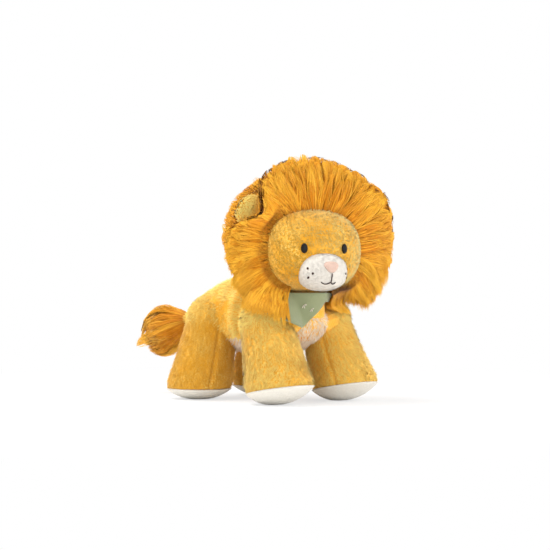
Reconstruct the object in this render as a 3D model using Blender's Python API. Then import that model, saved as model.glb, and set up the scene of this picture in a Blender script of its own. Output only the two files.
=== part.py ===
"""Plush lion: a standing soft toy, fibre-filled, with a sewn-on mane, soles, tail and bandana.

Metres, +Z up, nose towards -Y, the lion's right side at -X. The sizes below are taken from a point on the floor
between the four feet; the finished part is then moved so that the origin is on the floor under the middle of its
box. The head's own frame has its origin at the head's centre, x to the lion's left, y to its back and z up.
"""

import math

import bmesh
import bpy
import numpy as np
from mathutils import Matrix, Vector

# Cloth, gaps and floor
PLUSH = 0.003
SOLE_CLOTH = 0.0022
BANDANA_CLOTH = 0.0012
SEAM_GAP = 0.0003
STUFFING_GAP = 0.0012
JOINT_GAP = 0.0005
FLOOR_CUT = 0.0005
OVERRUN = 0.004

# Torso, along Y
TORSO_HALF_LENGTH = 0.081
TORSO_MIDDLE_Y = 0.009
TORSO_FRONT_HALF_WIDTH = 0.041
TORSO_REAR_HALF_WIDTH = 0.045
TORSO_FRONT_HALF_HEIGHT = 0.030
TORSO_REAR_HALF_HEIGHT = 0.040
TORSO_AXIS_Z = 0.074
BACK_ARCH_RISE = 0.011
BACK_ARCH_Y = 0.040
BACK_ARCH_REACH = 0.036
TORSO_ROUNDNESS = 2.3
TORSO_END_FULLNESS = 0.60
TORSO_TAPER_SHARE = 0.6

# Belly panel, sewn into the torso from the chest to the rump
BELLY_HALF_WIDTH = 0.022
BELLY_REAR_Y = 0.060
BELLY_SIDE_Z = 0.063
CHEST_SIDE_Y = -0.048
CHEST_TOP_Z = 0.090

# Legs: bells from a ball at the shoulder or hip to a sole
LEG_TOP_RADIUS = 0.027
LEG_FOOT_RADIUS = 0.0355
LEG_FLARE = 1.3
LEG_HEM_TUCK = 0.002
LEG_TUCK_SHARE = 0.85
LEG_CROWN_SHARE = 0.35
SHOULDER_X = 0.040
SHOULDER_Y = -0.038
SHOULDER_Z = 0.078
HIP_X = 0.036
HIP_Y = 0.046
HIP_Z = 0.079
FOOT_X = 0.044
FRONT_FOOT_Y = -0.061
REAR_FOOT_Y = 0.057
FRONT_SOLE_DEPTH = 0.0135
REAR_SOLE_DEPTH = 0.011
FRONT_TOE_SLOPE = 0.177
REAR_TOE_SLOPE = 0.0
SOLE_FULLNESS = 2.4
LEG_SWING = math.radians(15)

# Neck plug, a post with a ball top
NECK_RADIUS = 0.021
NECK_Y = -0.045
NECK_FOOT_Z = 0.088
NECK_BALL_Z = 0.103

# Head
HEAD_Y = -0.050
HEAD_Z = 0.1465
HEAD_HALF_WIDTH = 0.052
HEAD_HALF_DEPTH = 0.050
HEAD_HALF_HEIGHT = 0.042
HEAD_ROUNDNESS = 2.4
HEAD_YAW = math.radians(-22)
HEAD_TURN = (math.radians(-8), math.radians(52))
HEAD_NOD = (math.radians(-7), math.radians(7))

# Muzzle
MUZZLE_HALF_WIDTH = 0.0228
MUZZLE_HALF_DEPTH = 0.024
MUZZLE_HALF_HEIGHT = 0.0178
MUZZLE_FORWARD = 0.0415
MUZZLE_DROP = 0.021
MUZZLE_ROUNDNESS = 2.3

# Stitched features
STITCH_LIFT = 0.0003
STITCH_HEIGHT = 0.0009
PATCH_SHARES = ((0.5, 1), (0.88, 0.9), (1, 0.4), (0.96, 0), (0.5, 0))
EYE_SPACING = 0.041
EYE_RISE = 0.0010
EYE_HALF_WIDTH = 0.0031
EYE_HALF_HEIGHT = 0.0048
NOSE_DROP = 0.0165
NOSE_HALF_WIDTH = 0.0062
NOSE_HALF_HEIGHT = 0.0049
NOSE_HEIGHT = 0.0024
NOSE_SWELL_SHARE = 0.14
THREAD_RADIUS = 0.0005
GROOVE_TOP_DROP = 0.0225
MOUTH_DROP = 0.0305
MOUTH_HALF_WIDTH = 0.0095
MOUTH_SAG = 0.0022
MOUTH_ROUNDING = 0.8
MOUTH_POINTS = 15
GROOVE_POINTS = 6
THREAD_SIDES = 6
DOT_RADIUS = 0.0012
DOT_PLACES = ((0.0200, 0.0180), (0.0168, 0.0228), (0.0194, 0.0266))

# Mane: two tiers of long pile with the ears between them
MANE_MEAN_RADIUS = 0.0765
MANE_RISE = 0.0165
MANE_SIDE_GROWTH = 0.0065
MANE_LEFT_GROWTH = 0.006
MANE_REAR_INSET = 0.001
MANE_SEAM_FORWARD = 0.023
MANE_SPLIT_FORWARD = -0.002
MANE_BACK_REACH = 0.072
MANE_MIN_THICKNESS = 0.004
MANE_FRONT_END = math.radians(146)
MANE_REAR_END = math.radians(135)
MANE_LOCKS = 26
LOCK_DEPTH_SHARE = 0.075
LOCK_ROUNDING = 0.8
MANE_CLEARANCE = 0.0035
NAPE_TURN = math.radians(88)
NAPE_STEPS = 8
MANE_SEAM_SHARES = (1, 0.5, 0)
MANE_REAR_SHARES = (
    (1, 0.06),
    (0.98, 0.22),
    (0.93, 0.42),
    (0.8, 0.66),
    (0.6, 0.85),
    (0.35, 0.97),
    (0.15, 1),
    (0, 0.9),
    (0, 0.4),
)
MANE_CROWN_SHARE = 0.3
MANE_FRONT_SHARES = ((0.5, 0), (0.9, 0.02), (1, 0.22), (0.86, 0.48), (0.5, 0.80), (0.18, 0.97))

# Ears
EAR_ANGLE = math.radians(56)
EAR_HALF_WIDTH = 0.0155
EAR_HALF_LENGTH = 0.0155
EAR_HALF_THICKNESS = 0.005
EAR_PIVOT_RISE = 0.0022
EAR_NOTCH_RADIUS = 0.062
EAR_NOTCH_SPREAD = math.radians(15)
EAR_SLOT_HALF_WIDTH = 0.0040
EAR_SLOT_SLOPE = 0.34
EAR_DISH_SHARE = 0.175
EAR_ROUNDING = 0.8
EAR_STEPS = 8

# Tail
TAIL_ROOT_Z = 0.079
TAIL_ROOT_RISE = 0.0065
TAIL_ROOT_RADIUS = 0.0085
TAIL_END_RADIUS = 0.0075
TAIL_WAIST_RADIUS = 0.0060
TAIL_LENGTH = 0.022
TAIL_SIDE_TURN = math.radians(10)
TAIL_DROOP = math.radians(4)
TUFT_LENGTH = 0.062
TUFT_RADIUS = 0.027
TUFT_MOUTH_RADIUS = 0.0115
TUFT_DROOP = math.radians(20)
TUFT_LOCKS = 12
TUFT_GROOVE_SHARE = 0.12
TUFT_MOUTH_SHARE = 0.02
TUFT_SHARES = ((0.16, 0.72, 0.4), (0.34, 0.93, 0.8), (0.55, 1, 1), (0.76, 0.9, 1), (0.92, 0.62, 1), (0.985, 0.25, 1))
TAIL_WAIST_SHARE = 0.45
TAIL_NECK_SHARE = 0.5
TAIL_BALL_STEPS = 4

# Bandana, draped over chest and shoulders round the neck
BANDANA_TIP_ANGLE = math.radians(-44)
BANDANA_HALF_SPREAD = math.radians(92)
BANDANA_TOP_Z = 0.1010
BANDANA_TIP_Z = 0.0725
BANDANA_END_DROP = 0.004
BANDANA_NECK_RADIUS = 0.0290
BANDANA_REACH = 0.080
BANDANA_LIFT = 0.00035

# Mesh counts
TORSO_SIDES = 24
TORSO_STEPS = 16
HEAD_SIDES = 24
HEAD_STEPS = 14
STUFFING_SIDES = 16
LEG_SIDES = 16
LEG_STUFFING_SIDES = 12
LEG_DOME_STEPS = 3
LEG_FALL_STEPS = 6
SOLE_STEPS = 4
MUZZLE_SIDES = 24
MUZZLE_STEPS = 12
BALL_SIDES = 20
BALL_STEPS = 10
DOT_SIDES = 8
MANE_STEPS_PER_LOCK = 3
TRIM_SIDES = 16
SHEET_COLUMNS = 26
SHEET_ROWS = 6
SHEET_SMOOTHINGS = 5
REACH_STEPS = 321
SWING_STEPS = 3
BISECTIONS = 40
SETTLE_STEPS = 40
TURN_STEPS = 7
NOD_STEPS = 3
SOLE_PROBES = 201
WELD_DISTANCE = 0.000003

COLOURS = {
    "plush_yellow": (0.86, 0.52, 0.11),
    "plush_cream": (0.80, 0.62, 0.47),
    "pile_white": (0.86, 0.83, 0.83),
    "pile_orange": (0.80, 0.35, 0.03),
    "satin_pink": (0.88, 0.58, 0.49),
    "thread_dark": (0.02, 0.012, 0.012),
    "cloth_green": (0.33, 0.38, 0.23),
    "sole_white": (0.78, 0.76, 0.72),
    "stuffing_white": (0.90, 0.90, 0.88),
}
ROUGHNESS = 0.9

UP = Vector((0, 0, 1))
SIDES = (("right", -1), ("left", 1))


def clear_scene():
    """Removes what the startup file holds."""
    for thing in list(bpy.data.objects):
        bpy.data.objects.remove(thing, do_unlink=True)


def material(name):
    """Returns the named Principled material, made on its first use."""
    found = bpy.data.materials.get(name)
    if found:
        return found
    made = bpy.data.materials.new(name)
    made.use_nodes = True
    shader = made.node_tree.nodes["Principled BSDF"]
    shader.inputs["Base Color"].default_value = (*COLOURS[name], 1)
    shader.inputs["Roughness"].default_value = ROUGHNESS
    shader.inputs["Metallic"].default_value = 0
    made.diffuse_color = (*COLOURS[name], 1)
    return made


def solid(name, points, faces, finish):
    """Makes one closed object from points and faces, its faces turned outwards."""
    mesh = bpy.data.meshes.new(name)
    mesh.from_pydata([tuple(map(float, p)) for p in points], [], faces)
    work = bmesh.new()
    work.from_mesh(mesh)
    bmesh.ops.remove_doubles(work, verts=work.verts, dist=WELD_DISTANCE)
    bmesh.ops.recalc_face_normals(work, faces=work.faces)
    work.to_mesh(mesh)
    work.free()
    mesh.shade_smooth()
    mesh.materials.append(material(finish))
    made = bpy.data.objects.new(name, mesh)
    bpy.context.collection.objects.link(made)
    return made


def loft(name, rings, finish, tips=None, flat_ends=False):
    """Joins rings of equal count into a closed body.

    Each end closes with a fan to its tip, or to the ring's middle where tips isn't given, or with one flat face.
    """
    count = len(rings[0])
    points = [p for ring in rings for p in ring]
    faces = []
    for row in range(len(rings) - 1):
        for k in range(count):
            after = (k + 1) % count
            faces.append((row * count + k, row * count + after, (row + 1) * count + after, (row + 1) * count + k))
    for end, row in enumerate((0, len(rings) - 1)):
        if flat_ends:
            faces.append(tuple(row * count + k for k in range(count)))
            continue
        centre = len(points)
        points.append(tips[end] if tips else np.mean(rings[row], axis=0))
        faces += [(row * count + k, row * count + (k + 1) % count, centre) for k in range(count)]
    return solid(name, points, faces, finish)


def thick_sheet(name, outer, inner, finish):
    """Closes an outer and an inner grid of points into one thin body with a rim."""
    rows, columns = outer.shape[:2]
    points = np.concatenate([outer.reshape(-1, 3), inner.reshape(-1, 3)])
    shift = rows * columns
    faces = []
    for r in range(rows - 1):
        for c in range(columns - 1):
            quad = (r * columns + c, r * columns + c + 1, (r + 1) * columns + c + 1, (r + 1) * columns + c)
            faces.append(quad)
            faces.append(tuple(shift + v for v in reversed(quad)))
    rim = [c for c in range(columns)]
    rim += [r * columns + columns - 1 for r in range(1, rows)]
    rim += [(rows - 1) * columns + c for c in range(columns - 2, -1, -1)]
    rim += [r * columns for r in range(rows - 2, 0, -1)]
    for here, after in zip(rim, rim[1:] + rim[:1]):
        faces.append((here, shift + here, shift + after, after))
    return solid(name, points, faces, finish)


def carve(target, cutter, operation="DIFFERENCE"):
    """Cuts the target with the cutter by an exact Boolean and keeps the result as its mesh."""
    cutter.hide_render = True
    cutter.display_type = "WIRE"
    modifier = target.modifiers.new("carve", "BOOLEAN")
    modifier.solver = "EXACT"
    modifier.operation = operation
    modifier.object = cutter
    bpy.context.view_layer.update()
    seen = target.evaluated_get(bpy.context.evaluated_depsgraph_get())
    result = bpy.data.meshes.new_from_object(seen)
    target.modifiers.clear()
    target.data = result


def discard(*cutters):
    """Removes cutters that have done their work."""
    for cutter in cutters:
        bpy.data.objects.remove(cutter, do_unlink=True)


def signed_power(values, power):
    return np.sign(values) * np.abs(values) ** power


def oval(angles, half_x, half_z, roundness):
    """Points of a superellipse, as x and z."""
    power = 2 / roundness
    return half_x * signed_power(np.cos(angles), power), half_z * signed_power(np.sin(angles), power)


def turn_angles(count):
    return np.linspace(0, 2 * math.pi, count, endpoint=False)


def ease(share):
    """Smooth step from 0 to 1."""
    share = np.clip(share, 0, 1)
    return share * share * (3 - 2 * share)


def pivot(name, place, parent=None, turn=Matrix.Identity(4)):
    """An empty on a joint, which carries the pieces that move about it; the axis is its x, or z where it turns level."""
    made = bpy.data.objects.new(name, None)
    bpy.context.collection.objects.link(made)
    made.matrix_world = Matrix.Translation(place) @ turn
    bpy.context.view_layer.update()
    if parent:
        hang(made, parent)
    return made


def hang(piece, parent):
    """Parents a piece to an empty, which leaves it where it is."""
    bpy.context.view_layer.update()
    place = parent.matrix_world.inverted() @ piece.matrix_world
    piece.parent = parent
    piece.matrix_basis = place
    bpy.context.view_layer.update()


# Torso


def torso_section(y, grow):
    """Middle height, half width and half height of the torso at y, with its surface moved out by grow."""
    half_length = TORSO_HALF_LENGTH + grow
    along = np.clip((y - TORSO_MIDDLE_Y) / half_length, -1, 1)
    fullness = (1 - along**2) ** (TORSO_END_FULLNESS / 2)
    rear = ease((along + TORSO_TAPER_SHARE) / (2 * TORSO_TAPER_SHARE))
    width = TORSO_FRONT_HALF_WIDTH + (TORSO_REAR_HALF_WIDTH - TORSO_FRONT_HALF_WIDTH) * rear + grow
    height = TORSO_FRONT_HALF_HEIGHT + (TORSO_REAR_HALF_HEIGHT - TORSO_FRONT_HALF_HEIGHT) * rear + grow
    middle = TORSO_AXIS_Z + BACK_ARCH_RISE * np.exp(-(((y - BACK_ARCH_Y) / BACK_ARCH_REACH) ** 2))
    return middle, width * fullness, height * fullness


def torso_form(name, grow, sides, steps, finish):
    """The torso's swelling body as rings along Y."""
    angles = turn_angles(sides)
    half_length = TORSO_HALF_LENGTH + grow
    rings = []
    for step in range(1, steps):
        y = TORSO_MIDDLE_Y - half_length * math.cos(math.pi * step / steps)
        middle, half_width, half_height = torso_section(y, grow)
        x, z = oval(angles, half_width, half_height, TORSO_ROUNDNESS)
        rings.append(np.stack([x, np.full_like(x, y), z + middle], axis=1))
    tips = [(0, y, torso_section(y, grow)[0]) for y in (TORSO_MIDDLE_Y - half_length, TORSO_MIDDLE_Y + half_length)]
    return loft(name, rings, finish, tips)


def inside_torso(points, grow):
    """Tells which points lie within the torso moved out by grow."""
    middle, half_width, half_height = torso_section(points[..., 1], grow)
    across = np.abs(points[..., 0]) / np.maximum(half_width, SEAM_GAP)
    up = np.abs(points[..., 2] - middle) / np.maximum(half_height, SEAM_GAP)
    within = np.abs(points[..., 1] - TORSO_MIDDLE_Y) < TORSO_HALF_LENGTH + grow
    return within & (across**TORSO_ROUNDNESS + up**TORSO_ROUNDNESS < 1)


def inside_shoulders(points, grow):
    """Tells which points lie within the front legs at some part of their swing."""
    inside = np.zeros(points.shape[:-1], bool)
    for label, side in SIDES:
        leg = Leg("shape", side, True)
        centre = np.array(leg.top)
        for angle in np.linspace(-LEG_SWING, LEG_SWING, SWING_STEPS):
            turn = np.array(Matrix.Rotation(angle, 3, "X"))
            inside |= leg.holds((points - centre) @ turn + centre, grow)
    return inside


def ball(name, centre, radius, finish="stuffing_white"):
    """A ball, as rings along Z."""
    angles = turn_angles(BALL_SIDES)
    rings = []
    for step in range(1, BALL_STEPS):
        tilt = math.pi * step / BALL_STEPS
        ring = radius * math.sin(tilt)
        z = np.full(BALL_SIDES, centre[2] - radius * math.cos(tilt))
        rings.append(np.stack([centre[0] + ring * np.cos(angles), centre[1] + ring * np.sin(angles), z], axis=1))
    tips = [(centre[0], centre[1], centre[2] - radius), (centre[0], centre[1], centre[2] + radius)]
    return loft(name, rings, finish, tips)


def neck_post(name, grow, finish="stuffing_white"):
    """The neck plug: an upright post whose top is a ball, moved out by grow."""
    angles = turn_angles(BALL_SIDES)
    radius = NECK_RADIUS + grow
    heights = [(NECK_FOOT_Z - grow, radius), (NECK_BALL_Z, radius)]
    for step in range(1, BALL_STEPS // 2):
        tilt = math.pi * step / BALL_STEPS
        heights.append((NECK_BALL_Z + radius * math.sin(tilt), radius * math.cos(tilt)))
    rings = [
        np.stack([r * np.cos(angles), NECK_Y + r * np.sin(angles), np.full(BALL_SIDES, z)], axis=1)
        for z, r in heights
    ]
    return loft(name, rings, finish, [(0, NECK_Y, NECK_FOOT_Z - grow), (0, NECK_Y, NECK_BALL_Z + radius)])


def belly_cutter(name, shrink):
    """A prism across the torso whose side view is an L: under the belly, and up the chest."""
    low = -OVERRUN
    front = TORSO_MIDDLE_Y - TORSO_HALF_LENGTH - OVERRUN
    outline = [
        (front, low),
        (front, CHEST_TOP_Z - shrink),
        (CHEST_SIDE_Y - shrink, CHEST_TOP_Z - shrink),
        (CHEST_SIDE_Y - shrink, BELLY_SIDE_Z - shrink),
        (BELLY_REAR_Y - shrink, BELLY_SIDE_Z - shrink),
        (BELLY_REAR_Y - shrink, low),
    ]
    half = BELLY_HALF_WIDTH - shrink
    points = [(side * half, y, z) for side in (-1, 1) for y, z in outline]
    count = len(outline)
    faces = [tuple(range(count)), tuple(range(2 * count - 1, count - 1, -1))]
    faces += [(k, (k + 1) % count, count + (k + 1) % count, count + k) for k in range(count)]
    return solid(name, points, faces, "plush_cream")


def tail_root():
    """The middle of the ball at the root of the tail, just off the rump."""
    low, high = TORSO_MIDDLE_Y, TORSO_MIDDLE_Y + TORSO_HALF_LENGTH
    for _ in range(BISECTIONS):
        y = (low + high) / 2
        inside = inside_torso(np.array([[0, y, TAIL_ROOT_Z]]), 0)[0]
        low, high = (y, high) if inside else (low, y)
    return Vector((0, low + TAIL_ROOT_RISE, TAIL_ROOT_Z))


def make_torso():
    """Torso skin, belly panel and stuffing, with the neck opening and the seat of the tail."""
    skin = torso_form("torso_skin", 0, TORSO_SIDES, TORSO_STEPS, "plush_yellow")
    hollow = torso_form("torso_hollow", -PLUSH, TORSO_SIDES, TORSO_STEPS, "plush_yellow")
    opening = neck_post("neck_opening", SEAM_GAP)
    seat = ball("tail_seat", tail_root(), TAIL_ROOT_RADIUS + SEAM_GAP)
    for cutter in (hollow, opening, seat):
        carve(skin, cutter)
    panel = skin.copy()
    panel.data = skin.data.copy()
    panel.name = "belly_panel"
    bpy.context.collection.objects.link(panel)
    panel.data.materials.clear()
    panel.data.materials.append(material("plush_cream"))
    inner = belly_cutter("belly_inner", SEAM_GAP / 2)
    outer = belly_cutter("belly_outer", -SEAM_GAP / 2)
    carve(panel, inner, "INTERSECT")
    carve(skin, outer)
    stuffing = torso_form("torso_stuffing", -PLUSH - STUFFING_GAP, STUFFING_SIDES, TORSO_STEPS, "stuffing_white")
    wide_opening = neck_post("neck_opening_wide", 2 * SEAM_GAP)
    carve(stuffing, wide_opening)
    discard(hollow, opening, seat, inner, outer, wide_opening)


# Legs


class Leg:
    """One leg's named places and slopes."""

    def __init__(self, name, side, front):
        self.name = name
        self.side = side
        reach = (SHOULDER_X, SHOULDER_Y, SHOULDER_Z) if front else (HIP_X, HIP_Y, HIP_Z)
        self.top = Vector((side * reach[0], reach[1], reach[2]))
        self.foot_y = FRONT_FOOT_Y if front else REAR_FOOT_Y
        self.slope = FRONT_TOE_SLOPE if front else REAR_TOE_SLOPE
        self.sole_depth = FRONT_SOLE_DEPTH if front else REAR_SOLE_DEPTH
        radius = LEG_FOOT_RADIUS - LEG_HEM_TUCK
        reach_y = np.linspace(-1, 1, SOLE_PROBES) * radius
        lowest = (-self.slope * reach_y - self.sole_depth * self.bulge(np.abs(reach_y) / radius)).min()
        self.seam_z = -lowest - FLOOR_CUT

    def bulge(self, share):
        """Depth of the sole at a share of its radius, as a share of its full depth."""
        return 1 - share**SOLE_FULLNESS

    def ring(self, centre, radius, tilt, count):
        """A level ring, tilted by a share of the sole's slope."""
        angles = turn_angles(count)
        x = centre[0] + radius * np.cos(angles)
        y = centre[1] + radius * np.sin(angles)
        z = centre[2] - tilt * self.slope * (y - centre[1])
        return np.stack([x, y, z], axis=1)

    def fall(self, share):
        """Middle and radius at a share of the way from the ball's middle to the sole's seam."""
        centre = (
            self.top.x + (self.side * FOOT_X - self.top.x) * share,
            self.top.y + (self.foot_y - self.top.y) * share,
            self.top.z + (self.seam_z - self.top.z) * share,
        )
        flare = share**LEG_FLARE
        radius = LEG_TOP_RADIUS + (LEG_FOOT_RADIUS - LEG_TOP_RADIUS) * flare
        radius -= LEG_HEM_TUCK * ease((share - LEG_TUCK_SHARE) / (1 - LEG_TUCK_SHARE))
        return centre, radius

    def holds(self, points, grow):
        """Tells which points lie within the leg moved out by grow."""
        ball = ((points - np.array(self.top)) ** 2).sum(axis=-1) < (LEG_TOP_RADIUS + grow) ** 2
        share = np.clip((self.top.z - points[..., 2]) / (self.top.z - self.seam_z), 0, 1)
        centre, radius = self.fall(share)
        beside = np.hypot(points[..., 0] - centre[0], points[..., 1] - centre[1]) < radius + grow
        return ball | (beside & (points[..., 2] < self.top.z))

    def bell(self, inset, count):
        """Rings from the crown of the leg down to the sole's seam, with the surface moved in by inset."""
        rings = []
        for step in range(LEG_DOME_STEPS):
            tilt = math.pi / 2 * (step + LEG_CROWN_SHARE) / LEG_DOME_STEPS
            radius = LEG_TOP_RADIUS - inset
            z = self.top.z + radius * math.cos(tilt)
            rings.append(self.ring((self.top.x, self.top.y, z), radius * math.sin(tilt), 0, count))
        for step in range(LEG_FALL_STEPS + 1):
            share = step / LEG_FALL_STEPS
            centre, radius = self.fall(share)
            rings.append(self.ring(centre, radius - inset, share**2, count))
        return rings

    def pad(self, inset, gap, count):
        """Rings of the sole's bulging surface from its edge to its middle."""
        centre, radius = self.fall(1)
        rings = []
        for step in range(SOLE_STEPS):
            share = 1 - step / SOLE_STEPS
            drop = (self.sole_depth - inset) * self.bulge(share)
            place = (centre[0], centre[1], centre[2] - gap - drop)
            rings.append(self.ring(place, (radius - inset) * share, 1, count))
        return rings


def flatten_below(piece, height):
    """Cuts a piece off at the given height and closes the cut with one flat face."""
    work = bmesh.new()
    work.from_mesh(piece.data)
    everything = list(work.verts) + list(work.edges) + list(work.faces)
    cut = bmesh.ops.bisect_plane(
        work, geom=everything, plane_co=(0, 0, height), plane_no=(0, 0, -1), clear_outer=True
    )
    edges = [e for e in cut["geom_cut"] if isinstance(e, bmesh.types.BMEdge)]
    bmesh.ops.contextual_create(work, geom=edges)
    bmesh.ops.recalc_face_normals(work, faces=work.faces)
    work.to_mesh(piece.data)
    work.free()


def sweep_cut(piece, cutter, centre, axis, limits, steps):
    """Cuts a piece by its larger neighbour at every part of the joint's range."""
    for step in range(steps):
        angle = limits[0] + (limits[1] - limits[0]) * step / (steps - 1)
        to_centre = Matrix.Translation(centre)
        cutter.matrix_world = to_centre @ Matrix.Rotation(-angle, 4, axis) @ to_centre.inverted()
        carve(piece, cutter)


def keep_largest(piece):
    """Drops slivers that a cut has left loose, and keeps the piece itself."""
    work = bmesh.new()
    work.from_mesh(piece.data)
    left = set(work.verts)
    groups = []
    while left:
        group, queue = set(), [left.pop()]
        while queue:
            vertex = queue.pop()
            group.add(vertex)
            near = [e.other_vert(vertex) for e in vertex.link_edges]
            fresh = [v for v in near if v in left]
            left.difference_update(fresh)
            queue += fresh
        groups.append(group)
    groups.sort(key=len)
    loose = [v for group in groups[:-1] for v in group]
    bmesh.ops.delete(work, geom=loose, context="VERTS")
    work.to_mesh(piece.data)
    work.free()


def make_leg(leg):
    """One leg: skin open at the sole, its stuffing and its sole, all cut by the torso through the swing."""
    outer = leg.bell(0, LEG_SIDES)
    inner = leg.bell(PLUSH, LEG_SIDES)
    skin = loft(leg.name + "_skin", outer + inner[::-1], "plush_yellow")
    filling = leg.bell(PLUSH + STUFFING_GAP, LEG_STUFFING_SIDES)
    filling += leg.pad(SOLE_CLOTH + STUFFING_GAP, SEAM_GAP, LEG_STUFFING_SIDES)[1:]
    stuffing = loft(leg.name + "_stuffing", filling, "stuffing_white")
    cup = leg.pad(0, SEAM_GAP, LEG_SIDES)
    lining = leg.pad(SOLE_CLOTH, SEAM_GAP, LEG_SIDES)
    sole = loft(leg.name + "_sole", cup[::-1] + lining, "sole_white")
    flatten_below(sole, 0)
    body = torso_form("torso_shape", JOINT_GAP, TORSO_SIDES, TORSO_STEPS, "plush_yellow")
    neck = neck_post("neck_shape", JOINT_GAP)
    for cutter in (body, neck):
        sweep_cut(skin, cutter, leg.top, "X", (-LEG_SWING, LEG_SWING), SWING_STEPS)
        sweep_cut(stuffing, cutter, leg.top, "X", (-LEG_SWING, LEG_SWING), SWING_STEPS)
    keep_largest(skin)
    keep_largest(stuffing)
    discard(body, neck)
    carrier = pivot(leg.name + "_pivot", leg.top)
    for piece in (skin, stuffing, sole):
        hang(piece, carrier)


# Head


def head_frame():
    return Matrix.Translation((0, HEAD_Y, HEAD_Z)) @ Matrix.Rotation(HEAD_YAW, 4, "Z")


def head_section(forward, grow):
    """Share of the head's full outline that is left at a distance forward of its middle."""
    along = np.clip(np.abs(forward) / (HEAD_HALF_DEPTH + grow), 0, 1)
    return (1 - along**HEAD_ROUNDNESS) ** (1 / HEAD_ROUNDNESS)


def head_radius(angle, forward, grow=0.0):
    """Distance from the head's long axis to its surface, at an angle from straight up."""
    across = (np.abs(np.sin(angle)) / (HEAD_HALF_WIDTH + grow)) ** HEAD_ROUNDNESS
    up = (np.abs(np.cos(angle)) / (HEAD_HALF_HEIGHT + grow)) ** HEAD_ROUNDNESS
    return head_section(forward, grow) * (across + up) ** (-1 / HEAD_ROUNDNESS)


def head_front(x, z):
    """How far forward the face's surface stands at x and z."""
    left = 1 - np.abs(x / HEAD_HALF_WIDTH) ** HEAD_ROUNDNESS - np.abs(z / HEAD_HALF_HEIGHT) ** HEAD_ROUNDNESS
    return HEAD_HALF_DEPTH * np.maximum(left, 0) ** (1 / HEAD_ROUNDNESS)


def muzzle_front(x, z):
    """How far forward the muzzle's surface stands at x and z."""
    across = np.abs(x / MUZZLE_HALF_WIDTH) ** MUZZLE_ROUNDNESS
    up = np.abs((z + MUZZLE_DROP) / MUZZLE_HALF_HEIGHT) ** MUZZLE_ROUNDNESS
    return MUZZLE_FORWARD + MUZZLE_HALF_DEPTH * np.maximum(1 - across - up, 0) ** (1 / MUZZLE_ROUNDNESS)


def head_form(name, grow, sides, steps, finish):
    """The head's rounded body as rings from the face to the nape, in the head's frame."""
    angles = turn_angles(sides)
    rings = []
    for step in range(1, steps):
        forward = (HEAD_HALF_DEPTH + grow) * math.cos(math.pi * step / steps)
        radius = head_radius(angles, forward, grow)
        rings.append(np.stack([radius * np.sin(angles), np.full(sides, -forward), radius * np.cos(angles)], axis=1))
    tip = HEAD_HALF_DEPTH + grow
    made = loft(name, rings, finish, [(0, -tip, 0), (0, tip, 0)])
    made.matrix_world = head_frame()
    return made


def muzzle_form(name, grow, finish):
    """The muzzle's rounded body in the head's frame."""
    angles = turn_angles(MUZZLE_SIDES)
    half_depth = MUZZLE_HALF_DEPTH + grow
    rings = []
    for step in range(1, MUZZLE_STEPS):
        along = math.cos(math.pi * step / MUZZLE_STEPS)
        left = (1 - abs(along) ** MUZZLE_ROUNDNESS) ** (1 / MUZZLE_ROUNDNESS)
        x, z = oval(angles, (MUZZLE_HALF_WIDTH + grow) * left, (MUZZLE_HALF_HEIGHT + grow) * left, MUZZLE_ROUNDNESS)
        y = np.full(MUZZLE_SIDES, -MUZZLE_FORWARD - half_depth * along)
        rings.append(np.stack([x, y, z - MUZZLE_DROP], axis=1))
    tips = [(0, -MUZZLE_FORWARD - half_depth, -MUZZLE_DROP), (0, half_depth - MUZZLE_FORWARD, -MUZZLE_DROP)]
    made = loft(name, rings, finish, tips)
    made.matrix_world = head_frame()
    return made


def make_head():
    """Head skin with its neck and muzzle openings, the muzzle panel and the head's stuffing."""
    skin = head_form("head_skin", 0, HEAD_SIDES, HEAD_STEPS, "plush_yellow")
    hollow = head_form("head_hollow", -PLUSH, HEAD_SIDES, HEAD_STEPS, "plush_yellow")
    muzzle = muzzle_form("muzzle", 0, "pile_white")
    muzzle_hollow = muzzle_form("muzzle_hollow", -PLUSH, "pile_white")
    face = head_form("face_shape", SEAM_GAP, HEAD_SIDES, HEAD_STEPS, "plush_yellow")
    socket = neck_post("neck_socket", JOINT_GAP)
    carve(skin, hollow)
    carve(skin, muzzle_hollow)
    carve(skin, socket)
    carve(muzzle, face)
    carve(muzzle, muzzle_hollow)
    keep_largest(muzzle)
    keep_largest(skin)
    stuffing = head_form("head_stuffing", -PLUSH - STUFFING_GAP, STUFFING_SIDES, HEAD_STEPS, "stuffing_white")
    snout = muzzle_form("snout_stuffing", -PLUSH - STUFFING_GAP, "stuffing_white")
    wide_socket = neck_post("neck_socket_wide", 2 * JOINT_GAP)
    carve(stuffing, snout, "UNION")
    carve(stuffing, wide_socket)
    discard(hollow, muzzle_hollow, face, socket, snout, wide_socket)
    return [skin, muzzle, stuffing]


def on_surface(front, x, z, lift):
    """A point lifted off the face or the muzzle, in the head's frame."""
    return np.array((x, -front(x, z) - lift, z))


def stitched_patch(name, front, centre, outline, height, finish, sides=TRIM_SIDES):
    """A flat stitched shape on a curved surface; outline gives x and z offsets for an array of angles."""
    angles = turn_angles(sides)
    x, z = outline(angles)
    rings = []
    for share, rise in PATCH_SHARES:
        ring = [
            on_surface(front, centre[0] + share * a, centre[1] + share * b, STITCH_LIFT + height * rise)
            for a, b in zip(x, z)
        ]
        rings.append(np.array(ring))
    made = loft(name, rings, finish)
    made.matrix_world = head_frame()
    return made


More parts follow.
